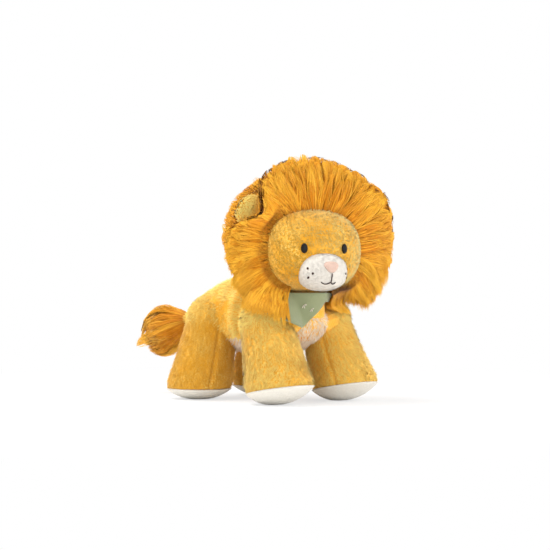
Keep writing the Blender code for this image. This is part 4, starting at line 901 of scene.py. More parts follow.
def make_piece(name, points, groups, finish, uv=None, uv_name="OFBake"):
    """A mesh object at the origin from points, groups of faces and one UV place for each point."""
    mesh = bpy.data.meshes.new(name)
    mesh.vertices.add(len(points))
    mesh.vertices.foreach_set("co", (points + PLACE).astype(np.float32).ravel())
    corners = np.concatenate([faces.ravel() for faces in groups]).astype(np.int32)
    counts = np.concatenate([np.full(len(faces), faces.shape[1]) for faces in groups])
    mesh.loops.add(len(corners))
    mesh.loops.foreach_set("vertex_index", corners)
    mesh.polygons.add(len(counts))
    mesh.polygons.foreach_set("loop_start", (np.cumsum(counts) - counts).astype(np.int32))
    mesh.polygons.foreach_set("use_smooth", np.ones(len(counts), bool))
    mesh.update(calc_edges=True)
    if uv is not None:
        layer = mesh.uv_layers.new(name=uv_name)
        layer.data.foreach_set("uv", uv[corners].astype(np.float32).ravel())
    if mesh.validate():
        raise RuntimeError(f"{name}: its mesh had faults")
    mesh.materials.append(bpy.data.materials[finish])
    piece = bpy.data.objects.new(name, mesh)
    bpy.context.scene.collection.objects.link(piece)
    return piece


def make_skin(name, surface, columns, rows, finish):
    """Closes a surface into a mesh: rings at equal steps of v, and a fan to the pole at each end."""
    around_u, along_v = np.meshgrid(np.arange(columns) / columns, np.arange(1, rows) / rows)
    rings = surface(around_u, along_v).reshape(-1, 3)
    ends = surface(np.zeros(2), np.array((0.0, 1.0)))
    points = np.concatenate([rings, ends])
    here = np.arange(columns)
    after = (here + 1) % columns
    step = np.arange(rows - 2)[:, None] * columns
    quads = joined(step + here, step + after, step + after + columns, step + here + columns).reshape(-1, 4)
    last, pole = (rows - 2) * columns, len(rings)
    first_fan = joined(after, here, pole)
    last_fan = joined(last + here, last + after, pole + 1)
    return make_piece(name, points, outward(points, [quads, np.concatenate([first_fan, last_fan])]), finish)


def make_sheet(name, points, flat, finish):
    """An open grid of points with its flat places as UV."""
    rows, columns = points.shape[:2]
    corner = (np.arange(rows - 1)[:, None] * columns + np.arange(columns - 1)).ravel()
    quads = joined(corner, corner + columns, corner + columns + 1, corner + 1)
    return make_piece(name, points.reshape(-1, 3), [quads], finish, flat.reshape(-1, 2), "cloth")


def make_strands(name, paths, half_width, facing, tint, finish, soft=0.75, first=0.0, fade=0.0):
    """Three-sided strands: two corners beside the path and one above it at each step, and a point at its end.

    Their normals lean towards the cloth's by the soft share, so the pile shades as one soft form, and less by the fade
    towards the tip. The palette is read from the first share on.
    """
    count, steps = paths.shape[:2]
    ahead = np.gradient(paths, axis=1)[:, :-1]
    side = unit(np.cross(ahead, facing[:, None]))
    over = unit(np.cross(side, ahead))
    wide = half_width[..., None]
    rings = np.stack([paths[:, :-1] + side * wide, paths[:, :-1] + 0.6 * over * wide, paths[:, :-1] - side * wide], 2)
    points = np.concatenate([rings.reshape(count, -1, 3), paths[:, -1:]], axis=1)
    stride = points.shape[1]
    corner = np.arange(3)
    beside = (corner + 1) % 3
    low = 3 * np.arange(steps - 2)[:, None]
    quads = joined(low + corner, low + 3 + corner, low + 3 + beside, low + beside).reshape(-1, 4)
    end = stride - 4
    tips = joined(end + corner, stride - 1, end + beside)
    ends = np.concatenate([tips, [[0, 1, 2]]])
    shift = np.arange(count)[:, None, None] * stride
    groups = [(shift + ends).reshape(-1, 3)]
    if len(quads):
        groups.insert(0, (shift + quads).reshape(-1, 4))
    along = np.append(np.repeat(np.arange(steps - 1), 3), steps - 1) / (steps - 1)
    crosswise = np.append(np.tile((0, 0.5, 1), steps - 1), 0.5) * 0.02
    lengthwise = along.copy()
    lengthwise[1] += 0.02
    lengthwise = first + (1 - first) * lengthwise
    uv = joined(tint[:, None] * 0.96 + 0.01 + crosswise, lengthwise * 0.96 + 0.01)
    piece = make_piece(name, points.reshape(-1, 3), groups, finish, uv.reshape(-1, 2))
    own = np.concatenate([np.stack([side, over, -side], 2).reshape(count, -1, 3), over[:, -1:]], axis=1)
    lean = soft * (1 - fade * along)[:, None]
    normals = (lean * facing[:, None] + (1 - lean) * own).reshape(-1, 3)
    piece.data.normals_split_custom_set_from_vertices(normals.tolist())
    return piece


# Roots and lay of the pile


def drift(points, reach, seed, size=3):
    """Smooth random numbers: for each output, the mean of six sine waves about as long as the reach."""
    chance = np.random.default_rng(seed)
    waves = chance.normal(size=(size, 6, 3)) * PI / reach
    phases = chance.uniform(0, 2 * PI, (size, 6))
    return np.sin(np.einsum("nk,awk->naw", points, waves) + phases).mean(axis=2) * 1.7


def scatter(surface, count, seed):
    """Places spread evenly over a surface, and their normals: a cell is drawn by its area, then a place in the cell."""
    chance = np.random.default_rng(seed)
    cells = SCATTER_CELLS
    edge = np.linspace(0, 1, cells + 1)
    grid = surface(*np.meshgrid(edge, edge, indexing="ij"))
    area = np.linalg.norm(np.cross(grid[1:, :-1] - grid[:-1, :-1], grid[:-1, 1:] - grid[:-1, :-1]), axis=-1).ravel()
    cell = chance.choice(len(area), count, p=area / area.sum())
    u = (cell // cells + chance.random(count)) / cells
    v = (cell % cells + chance.random(count)) / cells
    step = 0.0005
    across = surface(u + step, v) - surface(u - step, v)
    down = surface(u, np.minimum(v + step, 1)) - surface(u, np.maximum(v - step, 0))
    normal = np.cross(across, down)
    normal /= np.maximum(np.linalg.norm(normal, axis=-1, keepdims=True), 1e-15)
    roots = surface(u, v)
    facing = np.sign(np.einsum("ij,ij->", normal, roots - grid.reshape(-1, 3).mean(axis=0)))
    return u, v, roots, normal * facing, chance


def combed(normal, flow, lift):
    """Directions along the surface after the flow, raised off it by the lift."""
    flat = unit(flow - np.einsum("ij,ij->i", flow, normal)[:, None] * normal)
    return flat * np.cos(lift)[:, None] + normal * np.sin(lift)[:, None]


def make_pile(
    name, surface, count, seed, flow, length, width, finish, keep=None, tint=None, shorten=None,
    steps=2, curl=0.6, clump=0.0024,
):
    """Short pile: strands from scattered roots, combed after a flow that wanders a little, each raised its own way."""
    u, v, roots, normal, chance = scatter(surface, count, seed)
    if keep is not None:
        kept = keep(u, v, roots, normal)
        u, v, roots, normal = u[kept], v[kept], roots[kept], normal[kept]
    number = len(roots)

    def patchy(reach, step):
        """Smooth random numbers about 0, their patches as long as the reach."""
        return drift(roots, reach, seed + step, 1)[:, 0]

    wander = drift(roots, WANDER_REACHES[0], seed + 1) * WANDER + drift(roots, WANDER_REACHES[1], seed + 2) * curl
    heading = flow(roots) + wander + chance.normal(size=(number, 3)) * HEADING_CHANCE
    rising = LIFT + LIFT_DRIFT * patchy(SHADE_REACHES[1], 3) + chance.normal(size=number) * LIFT_CHANCE
    rising = np.clip(rising, *LIFT_ENDS)
    reach = length * chance.uniform(*STRAND_LENGTHS, number)
    if shorten is not None:
        reach = reach * shorten(u, v, roots)
    start = roots - normal * ROOT_SUNK
    if steps == 2:
        places = [start, start + combed(normal, heading, rising) * reach[:, None]]
    else:
        middle = start + combed(normal, heading, rising + LIFT_BEND[0]) * reach[:, None] * 0.5
        places = [start, middle, middle + combed(normal, heading, rising + LIFT_BEND[1]) * reach[:, None] * 0.5]
    cells = np.floor((roots + 0.0012 * drift(roots, 0.004, seed + 6)) / clump).astype(int)
    group = np.unique(cells @ (1, 4096, 4096**2), return_inverse=True)[1]
    gathering = joined(*[np.bincount(group, along) for along in places[-1].T]) / np.bincount(group)[:, None]
    places[-1] = places[-1] + CLUMP_PULL * (gathering[group] - places[-1])
    shade = 0.5 + SHADE_DRIFT * patchy(SHADE_REACHES[0], 4) + SHADE_DRIFT * patchy(SHADE_REACHES[1], 5)
    shade = shade + chance.normal(size=number) * SHADE_CHANCE
    if tint is not None:
        shade = shade + tint(u, v, roots)
    widths = (width * chance.uniform(*STRAND_WIDTHS, number))[:, None] * np.linspace(1, STRAND_TAPER, steps - 1)
    return make_strands(name, np.stack(places, axis=1), widths, normal, np.clip(shade, 0, 1), finish)


def bent(start, control, end):
    """Points on a quadratic curve from start to end, pulled towards the control."""
    at = np.linspace(0, 1, LOCK_POINTS)[None, :, None]
    return (1 - at) ** 2 * start[:, None] + 2 * at * (1 - at) * control[:, None] + at**2 * end[:, None]


def gathered(paths, lock, leader, pull):
    """Draws each strand towards the first strand of its lock, more the nearer to the tip."""
    at = np.linspace(0, 1, paths.shape[1])[None, :, None]
    lead = paths[leader[lock]]
    share = pull[:, None, None] * at**1.5
    return paths * (1 - share) + lead * share


def locks_of(places, count, chance):
    """Each strand's lock by the nearest of some strands picked at random as leaders, and three numbers of that lock."""
    leader = chance.choice(len(places), count, replace=False)
    away = ((places[:, None] - places[None, leader]) ** 2).sum(axis=-1)
    lock = away.argmin(axis=1)
    return lock, leader, chance.normal(size=(count, 3))[lock]


# Finishes


def feed(tree, socket, value):
    """Gives an input what another node puts out, or a plain value."""
    if isinstance(value, bpy.types.NodeSocket):
        tree.links.new(value, socket)
    else:
        socket.default_value = value


def put(tree, kind, feeds=None, **values):
    """Adds a node, sets its plain properties and feeds its inputs."""
    node = tree.nodes.new(kind)
    for key, value in values.items():
        setattr(node, key, value)
    for key, value in (feeds or {}).items():
        feed(tree, node.inputs[key], value)
    return node


def new_group(name, inputs, outputs):
    """An empty node group with named sockets; returns its tree, what it is given and its output node."""
    tree = bpy.data.node_groups.new(name, "ShaderNodeTree")
    for way, sockets in (("INPUT", inputs), ("OUTPUT", outputs)):
        for label, kind in sockets:
            tree.interface.new_socket(label, in_out=way, socket_type="NodeSocket" + kind)
    return tree, put(tree, "NodeGroupInput").outputs, put(tree, "NodeGroupOutput").inputs


def blended(tree, factor, first, second):
    """A colour mix; each of its inputs is a socket or a value."""
    return put(tree, "ShaderNodeMix", {"Factor": factor, 6: first, 7: second}, data_type="RGBA").outputs[2]


def ranged(tree, value, low, high, out_low=0.0, out_high=1.0):
    """Maps a value smoothly from one range to another."""
    feeds = {"Value": value, "From Min": low, "From Max": high, "To Min": out_low, "To Max": out_high}
    return put(tree, "ShaderNodeMapRange", feeds, interpolation_type="SMOOTHSTEP").outputs["Result"]


def noise(tree, vector, scale, detail=2.0, rough=0.5):
    """Soft noise at a scale."""
    feeds = {"Scale": scale, "Detail": detail, "Roughness": rough, "Vector": vector}
    return put(tree, "ShaderNodeTexNoise", feeds).outputs["Fac"]


def bands(tree, vector, way, scale, distortion, **feeds):
    """Sine bands across the vector's X or Y."""
    feeds = {"Vector": vector, "Scale": scale, "Distortion": distortion, **feeds}
    return put(tree, "ShaderNodeTexWave", feeds, wave_type="BANDS", bands_direction=way).outputs["Fac"]


def make_groups():
    """Pile palette by tint and root to tip, pile ground by streaky noise between two shades, and the threads' ribs."""
    colours = [(label, "Color") for label in ("Root", "Deep", "Pale")]
    tree, given, result = new_group("pile_palette", [("Place", "Vector")] + colours, [("Color", "Color")])
    across, along, _ = put(tree, "ShaderNodeSeparateXYZ", {0: given["Place"]}).outputs
    body = blended(tree, across, given["Deep"], given["Pale"])
    # Root colour at the strand's base: painted shade deep in the pile and between its clumps.
    rooted = blended(tree, ranged(tree, along, 0.0, 0.38), given["Root"], body)
    # Towards Pale at the tip: painted light on the strands' tips.
    lit = blended(tree, ranged(tree, along, 0.55, 1.0, 0.0, 0.35), rooted, given["Pale"])
    feed(tree, result["Color"], lit)

    outputs = [("Color", "Color"), ("Height", "Float")]
    tree, given, result = new_group("pile_ground", [("Vector", "Vector")] + colours, outputs)
    coarse = noise(tree, given["Vector"], 45.0, 3.0)
    fine = noise(tree, given["Vector"], 620.0, 2.0, 0.6)
    body = blended(tree, ranged(tree, coarse, 0.3, 0.7), given["Deep"], given["Pale"])
    feed(tree, result["Color"], blended(tree, ranged(tree, fine, 0.3, 0.8), given["Root"], body))
    feed(tree, result["Height"], fine)

    tree, given, result = new_group("thread_ribs", [("Vector", "Vector")], [("Height", "Float")])
    feed(tree, result["Height"], bands(tree, given["Vector"], "X", 420.0, 1.2, Detail=1.0))


def new_finish(name, roughness=0.9, sheen=0.25):
    """A Principled material with plain roughness and sheen; returns its tree and shader."""
    finish = bpy.data.materials.new(name)
    finish.use_nodes = True
    shader = finish.node_tree.nodes["Principled BSDF"]
    plain = {"Roughness": roughness, "Sheen Weight": sheen, "Sheen Roughness": 0.5, "Specular IOR Level": 0.15}
    for key, value in plain.items():
        shader.inputs[key].default_value = value
    return finish.node_tree, shader


def shades(colours, *names):
    """Colours of the panel as opaque values, in the order of their names."""
    return [(*getattr(colours, name), 1) for name in names]


def darker(colour, share):
    """A colour times a share."""
    return tuple(share * part for part in colour[:3]) + (1,)


def use_group(tree, name, vector, values=()):
    """Places a group, feeds its vector and sets its colours."""
    node = put(tree, "ShaderNodeGroup", node_tree=bpy.data.node_groups[name])
    feed(tree, node.inputs[0], vector)
    for label, value in zip(("Root", "Deep", "Pale"), values):
        node.inputs[label].default_value = value
    return node.outputs


def bumped(tree, shader, height, strength, distance):
    """Raises a finish by a height that goes up to the distance."""
    bump = put(tree, "ShaderNodeBump", {"Strength": strength, "Distance": distance, "Height": height})
    feed(tree, shader.inputs["Normal"], bump.outputs["Normal"])


def pile_finish(name, values, sheen):
    """Strands: the palette read at each strand's own place."""
    tree, shader = new_finish(name, 0.85, sheen)
    place = put(tree, "ShaderNodeUVMap", uv_map="OFBake").outputs["UV"]
    feed(tree, shader.inputs["Base Color"], use_group(tree, "pile_palette", place, values)["Color"])


def ground_finish(name, values, strength=0.5):
    """The cloth below the strands: streaky ground with a fine bump."""
    tree, shader = new_finish(name)
    place = put(tree, "ShaderNodeTexCoord").outputs["Object"]
    ground = use_group(tree, "pile_ground", place, values)
    feed(tree, shader.inputs["Base Color"], ground["Color"])
    bumped(tree, shader, ground["Height"], strength, 0.0012)


def thread_finish(name, colour, roughness):
    """Satin stitches: one colour with paler and darker ribs."""
    tree, shader = new_finish(name, roughness, 0.0)
    ribs = use_group(tree, "thread_ribs", put(tree, "ShaderNodeTexCoord").outputs["Object"])["Height"]
    ribbed = blended(tree, ranged(tree, ribs, 0.1, 0.7), darker(colour, 0.72), colour)
    feed(tree, shader.inputs["Base Color"], ribbed)
    shader.inputs["Specular IOR Level"].default_value = 0.25
    bumped(tree, shader, ribs, 0.6, 0.0004)


def cloth_finish(colour):
    """Plain-woven cloth: the product of bands both ways, read from the cloth's own flat map, over a faint wash."""
    tree, shader = new_finish("cloth_weave", 0.8, 0.35)
    place = put(tree, "ShaderNodeUVMap", uv_map="cloth").outputs["UV"]
    threads = {0: bands(tree, place, "X", 60.0, 0.6), 1: bands(tree, place, "Y", 22.0, 0.6)}
    weave = put(tree, "ShaderNodeMath", threads, operation="MULTIPLY").outputs[0]
    wash = blended(tree, noise(tree, place, 5.0), darker(colour, 0.68), colour)
    feed(tree, shader.inputs["Base Color"], blended(tree, ranged(tree, weave, 0.0, 0.6, 0.35, 1.0), wash, colour))
    bumped(tree, shader, weave, 0.35, 0.0004)


def make_finishes(colours):
    """All finishes from the panel's colours: pile and its ground by colour, soles, threads and the bandana's cloth."""
    make_groups()
    yellow = shades(colours, "plush_root", "plush_deep", "plush_pale")
    orange = shades(colours, "mane_root", "mane_deep", "mane_pale")
    cream = shades(colours, "cream_root", "cream_pale", "cream_pale")
    white = shades(colours, "white_root", "white_pale", "white_pale")
    for name, values in (("yellow", yellow), ("orange", orange), ("cream", cream), ("white", white)):
        pile_finish(name + "_pile", values, 0.12 if name == "orange" else 0.18)
        first = 1 if name in ("yellow", "orange") else 0
        ground_finish(name + "_ground", [values[first], values[first], values[first + 1]])
    # The face pile is a darker, less red copy of the yellow palette: partly its own hue, partly painted shade.
    face = [(*(part * share for part, share in zip(value, FACE_SHADE_SHARES)), 1) for value in yellow]
    pile_finish("face_pile", face, 0.18)
    sole, nose, thread, mouth, motif, cloth = shades(colours, "sole", "nose", "thread", "mouth", "motif", "cloth")
    ground_finish("sole_cloth", [darker(sole, 0.9), sole, sole], 0.25)
    for name, colour, roughness in (
        ("nose_satin", nose, 0.5), ("eye_thread", thread, 0.35),
        ("mouth_thread", mouth, 0.6), ("sprig_thread", motif, 0.6),
    ):
        thread_finish(name, colour, roughness)
    cloth_finish(cloth)


# Pieces and what carries them


def carry(piece, body, stands_for=()):
    """Fixes a piece to a body given by name, else bakes its place into its mesh; hides the nodes that it stands for."""
    if isinstance(body, str):
        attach(piece, body)
    else:
        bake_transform(piece)
    if stands_for:
        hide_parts(*stands_for)
    return piece


def add_skin(name, body, surface, columns, rows, finish, stands_for=()):
    """Makes a closed skin and fixes it to its body."""
    carry(make_skin(name, surface, columns, rows, finish), body, stands_for)


def add_pile(name, body, slot, *values, **options):
    """Makes short pile and fixes it to its body."""
    carry(make_pile(name, *values, **options), body)


def add_locks(name, body, paths, facing, own, spread, soft, sizes, chance, low=0):
    """Long orange pile, tapering: tinted by its lock's numbers and by chance, the low locks paler as painted light."""
    count = len(paths)
    # The lower share makes the low locks paler: painted light where the head shades them.
    middle, lower, by_lock, by_strand = LOCK_TINT
    tint = middle + lower * low + spread * own[:, 0] + by_lock * own[:, 2] + chance.normal(size=count) * by_strand
    taper = np.linspace(1, LOCK_TAPER, LOCK_POINTS - 1)
    width = sizes.mane_strand_width * chance.uniform(*LOCK_WIDTHS, count)[:, None] * taper
    piece = make_strands(name, paths, width, facing, np.clip(tint, 0, 1), "orange_pile", soft, 0.12, 0.8)
    carry(piece, body)


def steady(*heading):
    """A flow that points the same way everywhere."""
    return lambda points: 0 * points + heading


class Making:
    """Shared by the operators: the sizes and the finishes, which are made on first use."""

    bl_options = {"REGISTER", "UNDO"}

    def execute(self, context):
        if "yellow_pile" not in bpy.data.materials:
            make_finishes(context.scene.lion_colours)
        self.build(context.scene.lion_sizes)
        return {"FINISHED"}


class LION_OT_torso(Making, bpy.types.Operator):
    """Torso skin with its short pile, the cream belly and chest, and the neck"""

    bl_idname = "lion.torso"
    bl_label = "Torso"

    def build(self, sizes):
        add_skin("torso_plush", "torso", torso, 96, 72, "yellow_ground",
                 ("torso_skin", "torso_stuffing"))

        def yellow(u, v, points, normal):
            """Not deep in a leg, and off the belly panel but for where a leg meets it."""
            return ~in_legs(points, -PILE_BURIED) & (~in_belly(points) | in_legs(points, -PILE_OVERLAP))

        def tint(u, v, points):
            """Painted light upwards, and painted shade in stripes along the gathers' creases behind the shoulders."""
            y, z = points[:, 1], points[:, 2]
            fold_shading = np.sin(2 * PI * y / GATHER_PITCH + GATHER_PHASE) * bell(y - GATHER_Y, GATHER_REACH)
            # The height term is painted light from above; the fold term is painted shade in the gathers' creases.
            return 0.50 + 5.0 * (z - 0.085) + 0.25 * fold_shading

        add_pile("torso_pile", "torso", "plush_yellow", torso, sizes.torso_strands, 11, steady(0, 1, -0.75),
                 sizes.body_pile, sizes.strand_width, "yellow_pile", yellow, tint)
        add_skin("belly_plush", "torso", belly_strip, 48, 60, "cream_ground", ("belly_panel",))

        def cream(u, v, points, normal):
            """On the belly panel and a little past its edge, but not in a leg."""
            return in_belly(points, 0.0012) & ~in_legs(points, -PILE_OVERLAP)

        def longer(u, v, points):
            """Up to 1.9 times as long low on the belly."""
            return 1 + 0.9 * ease((0.056 - points[:, 2]) / 0.010)

        add_pile("belly_pile", "torso", "plush_cream", torso, sizes.torso_strands, 21, steady(0, 0.6, -1),
                 sizes.body_pile, sizes.strand_width, "cream_pile", cream, shorten=longer)
        add_skin("neck_plush", "neck", neck, 40, 16, "yellow_ground", ("neck_stuffing",))


class LION_OT_legs(Making, bpy.types.Operator):
    """Four stuffed legs with their short pile and soles"""

    bl_idname = "lion.legs"
    bl_label = "Legs"

    def build(self, sizes):
        for number, leg in enumerate(LEGS):
            top = leg.top + PLACE
            bend = ("torso", leg.name, tuple(top + (0, 0, LEG_BEND[0])), tuple(top - (0, 0, LEG_BEND[1])))
            add_skin(leg.name + "_plush", bend, leg.skin, 96, 64, "yellow_ground",
                     (leg.name + "_skin", leg.name + "_stuffing"))

            def keep(u, v, points, normal):
                """Above the sole and not deep in the torso."""
                return (v < leg.hem + 0.004) & ~in_plush(points, -PILE_BURIED)

            def shorten(u, v, points):
                """Shorter near the hem and along the seam."""
                hem = ease((leg.hem - v) / 0.06)
                return (0.45 + 0.55 * hem) * (1 - 0.45 * leg.near_seam(2 * PI * u))

            def tint(u, v, points):
                """Painted light towards the top; painted shade on the rear legs and along the seam's crease."""
                # Painted shade along the seam's crease.
                seam = 0.45 * leg.near_seam(2 * PI * u) * ease(4 * (v - leg.crown))
                # Rear legs darker as painted shade, paler near the top as painted light.
                return (0.12 if leg.front else -0.42) - seam + (0.25 if leg.front else 0.7) * (1 - ease(v / 0.45))

            flow = steady(0.25 * leg.side, -0.35 if leg.front else 0.15, -1)
            add_pile(leg.name + "_pile", bend, "plush_yellow", leg.skin, sizes.leg_strands, 31 + 10 * number, flow,
                     sizes.body_pile, sizes.strand_width, "yellow_pile", keep, tint, shorten)
            add_skin(leg.name + "_pad", leg.name, leg.sole, 72, 30, "sole_cloth",
                     (leg.name + "_sole",))


class LION_OT_head(Making, bpy.types.Operator):
    """Stuffed head with its pile, the white muzzle, and the stitched eyes, nose, mouth and dots"""

    bl_idname = "lion.head"
    bl_label = "Head"

    def build(self, sizes):
        add_skin("head_plush", "head", head, 96, 72, "yellow_ground",
                 ("head_skin", "head_stuffing"))

        def from_point(*centre):
            """A flow away from a point of the head's frame."""
            return lambda points: (to_head(points) - centre) @ HEAD_FRAME[:3, :3].T

        def keep(u, v, points, normal):
            """The front of the head, but for the muzzle's place and ovals round the eyes."""
            x, y, z = to_head(points).T
            shown = (y < -MANE_SPLIT) & ~((beside_muzzle(x, z) < 0.93) & (y < 0))
            for side in (-1, 1):
                away = np.hypot((x - side * EYE_X) / (EYE_HALF_WIDTH + 0.0006),
                                (z - EYE_Z + 0.0008) / (EYE_HALF_HEIGHT + 0.0009))
                shown &= away > 1
            return shown

        def tint(u, v, points):
            """Paler to the lion's left as painted light from that side, with painted shade below each eye."""
            x, _, z = to_head(points).T
            # Painted light on the lion's left side of the face, painted shade below each eye.
            return -0.05 + 9.0 * x - 0.5 * bell(np.abs(x) - 0.02, 0.008) * bell(z + 0.006, 0.005)

        add_pile("head_pile", "head", "plush_yellow", head, int(sizes.head_strands * 1.4), 71,
                 from_point(0, -0.06, -0.024), sizes.face_pile, sizes.strand_width, "face_pile", keep, tint, steps=3)
        add_skin("muzzle_plush", "head", muzzle, 72, 48, "white_ground", ("muzzle",))

        def white(u, v, points, normal):
            """The muzzle's front, but for the nose, the dots and the stitched lines."""
            x, y, z = to_head(points).T
            off_nose = np.hypot(x / (NOSE_HALF_WIDTH + 0.0006), (z + NOSE_DROP) / (NOSE_HALF_HEIGHT + 0.0006)) > 1
            free = (y < -0.03) & off_nose
            for at_x, drop in DOT_PLACES:
                free &= np.hypot(np.abs(x) - at_x, z + drop) > DOT_RADIUS + 0.0002
            line = -MOUTH_DROP - MOUTH_SAG * np.sin(PI * np.clip(np.abs(x) / MOUTH_HALF_WIDTH, 0, 1)) ** 0.8
            free &= ~((np.abs(z - line) < 0.0011) & (np.abs(x) < MOUTH_HALF_WIDTH))
            return free & ~((np.abs(x) < 0.0010) & (z < -GROOVE_TOP) & (z > -MOUTH_DROP))

        add_pile("muzzle_pile", "head", "pile_white", muzzle, MUZZLE_STRANDS, 81, from_point(0, -0.06, -0.018),
                 sizes.velvet_pile, MUZZLE_STRAND_WIDTH, "white_pile", white, clump=0.0008)

        nose = patch(muzzle_front, (0, -NOSE_DROP), nose_outline, NOSE_HEIGHT)
        add_skin("nose_satin", "head", nose, 48, 24, "nose_satin", ("nose",))
        for label, side in (("left", 1), ("right", -1)):
            eye = patch(head_front, (side * EYE_X, EYE_Z), ellipse(EYE_HALF_WIDTH, EYE_HALF_HEIGHT), EYE_HEIGHT)
            add_skin("eye_stitch_" + label, "head", eye, 40, 20, "eye_thread", ("eye_" + label,))
            for number, (x, drop) in enumerate(DOT_PLACES, 1):
                slant = math.sqrt(1 - (x / MUZZLE_HALF_WIDTH) ** 2)
                dot = patch(muzzle_front, (side * x, -drop), ellipse(DOT_RADIUS * slant, DOT_RADIUS), DOT_HEIGHT)
                add_skin(f"dot_stitch_{label}_{number}", "head", dot, 16, 10, "mouth_thread",
                         (f"whisker_dot_{label}_{number}",))
        for name, path, rows, stands_for in (("mouth", mouth_path, 48, ("mouth",)), ("groove", groove_path, 20, ())):
            line = tube(path, THREAD_RADIUS)
            add_skin(name + "_stitch", "head", line, 10, rows, "mouth_thread", stands_for)


class LION_OT_mane(Making, bpy.types.Operator):
    """The two tiers of long orange pile and the padded forms under them"""

    bl_idname = "lion.mane"
    bl_label = "Mane"

    def build(self, sizes):
        tables = ("front", FRONT_TABLE, MANE_FRONT_END), ("back", REAR_TABLE, MANE_REAR_END)
        for rear, (place, table, end) in enumerate(tables):
            form = mane_form(table, end, FORM_SHARES[rear], rear)
            add_skin(f"mane_{place}_form", "head", form, FORM_COLUMNS[rear], 160, "orange_ground",
                     ("mane_" + place,))
        for half in (1, 2):
            ends = -MANE_FRONT_END, MANE_FRONT_END + MANE_FRONT_PAST
            self.tier(f"mane_front_pile_{half}", front_line, ends, 100 + half, sizes)
            self.tier(f"mane_back_pile_{half}", rear_line, (-MANE_REAR_END, MANE_REAR_END), 200 + half, sizes)
        self.tier("mane_front_pile_3", front_line, (-MANE_FRONT_END, MANE_FRONT_END), 103, sizes, 0.45)

    def tier(self, name, line, ends, seed, sizes, behind=0.0):
        """Locks rooted under the form: each strand leaves its root square to the form, and lies over to its own tip.

        A strand starts at a place along the section, below the form by its depth, and ends further along it, above
        the form by its lift. The low ones hang by a share of their length squared. With a share of the strands given
        as behind, that share is rooted on the front tier's rear face instead.
        """
        chance = np.random.default_rng(seed)
        front = line is front_line
        count = int(sizes.mane_strands * (behind or 1))
        angle = chance.uniform(*ends, count)
        if front and not behind:
            angle = np.where(chance.random(count) < END_SHARE, ends[0] + END_SPAN * chance.random(count), angle)
        root = chance.random(count) ** ROOT_CROWDING * MANE_ROOTS_END
        near, low = near_ear(angle), ease((np.abs(angle) - LOW_FROM) / LOW_SPAN)
        tucked = EAR_TUCK * near
        if not front:
            tucked = np.maximum(tucked, near * (1 - ease((root - EAR_TUCK_FROM) / EAR_TUCK_SPAN)))
        nape = 0 * root if front else ease((root - NAPE_FROM) / NAPE_SPAN)
        if behind:
            root = 1 + root
        places = joined(angle * LOCK_SPREADS[0], root * LOCK_SPREADS[1 if front else 2])
        lock, leader, own = locks_of(places, MANE_LOCKS, chance)
        sway = drift(joined(angle, root, 0) * 0.3, 0.12, seed + 2, 2)
        chin = ease((-angle - CHIN_FROM) / CHIN_SPAN)
        notch = bell(-angle - NOTCH_AT, NOTCH_SPAN)
        reach = sizes.mane_length * (0.92 + 0.10 * own[:, 0]) * chance.uniform(*LOCK_LENGTHS, count)
        reach = reach * (1 + 0.25 * low)
        lean = LOCK_LEAN[0] * own[:, 1] + LOCK_LEAN[1] * sway[:, 0] + LOCK_LEAN[2] * chance.normal(size=count)
        start, _, out, arc = line(angle, root)
        keep = 1 - np.exp(-(root * arc / ROOT_SHALLOW) ** 2)
        depth, flat = ROOT_DEPTHS[1 if behind else 0]
        start = start - out * (depth * keep * (1 - flat * near))[:, None]
        travel = LOCK_TRAVEL * reach / arc * (1 - 0.8 * low * nape)
        tip_place = np.maximum(root - travel, 1.0) if behind else np.minimum(root + travel, 1.0)
        past = np.abs(tip_place - root - (-travel if behind else travel)) * arc
        if front and not behind:
            tip_place = np.minimum(tip_place, 1 - NOTCH_DEPTH * notch)
        tip, tip_ahead, tip_out, _ = line(angle + lean, tip_place)
        if front:
            spread = 1 + LOCK_OVER[0] * own[:, 2] + LOCK_OVER[1] * low * (1 - chin)
            tip = tip + tip_ahead * np.minimum(past, sizes.mane_overhang * spread * (1 - notch))[:, None]
        lift = LOCK_LIFT[0] + LOCK_LIFT[1] * own[:, 2] + LOCK_LIFT[2] * chance.normal(size=count)
        lift = sizes.mane_overhang * lift
        tip = tip + tip_out * (np.clip(lift, 0.0003, None) * (1 - tucked))[:, None]
        bow = (BOW_HEIGHTS[0] * keep + BOW_HEIGHTS[1]) * (1 - tucked)
        control = start + BOW_PLACE * (tip - start) + out * bow[:, None]
        paths = gathered(bent(start, control, tip), lock, leader, chance.uniform(*MANE_PULLS, count))
        span = np.linspace(0, 1, LOCK_POINTS)
        fall = (0.6 * low + 0.6 * chin) * (1 if front else 0.2) + 0.8 * nape * (1 - 0.6 * low)
        paths[:, :, 2] -= (sizes.mane_hang * fall * reach / sizes.mane_length)[:, None] * span**HANG_POWER
        paths[:, :, 1] -= (CHIN_FORWARD * chin)[:, None] * span
        paths[:, :, 1] += (NAPE_BACK * nape)[:, None] * span
        world = from_head(paths)
        if front:
            world = pushed_out(world, LOCK_CLEARANCE, CHIN_PUSH * chin)
        facing = out * (0.05 if behind else 0.8) + (world[:, -1] - world[:, 0]) @ HEAD_FRAME[:3, :3] * 8
        if front:
            facing += low[:, None] * np.array(CHIN_FACING)
        add_locks(name, "head", world, unit(facing) @ HEAD_FRAME[:3, :3].T, own, 0.24, MANE_SOFT, sizes, chance, low)


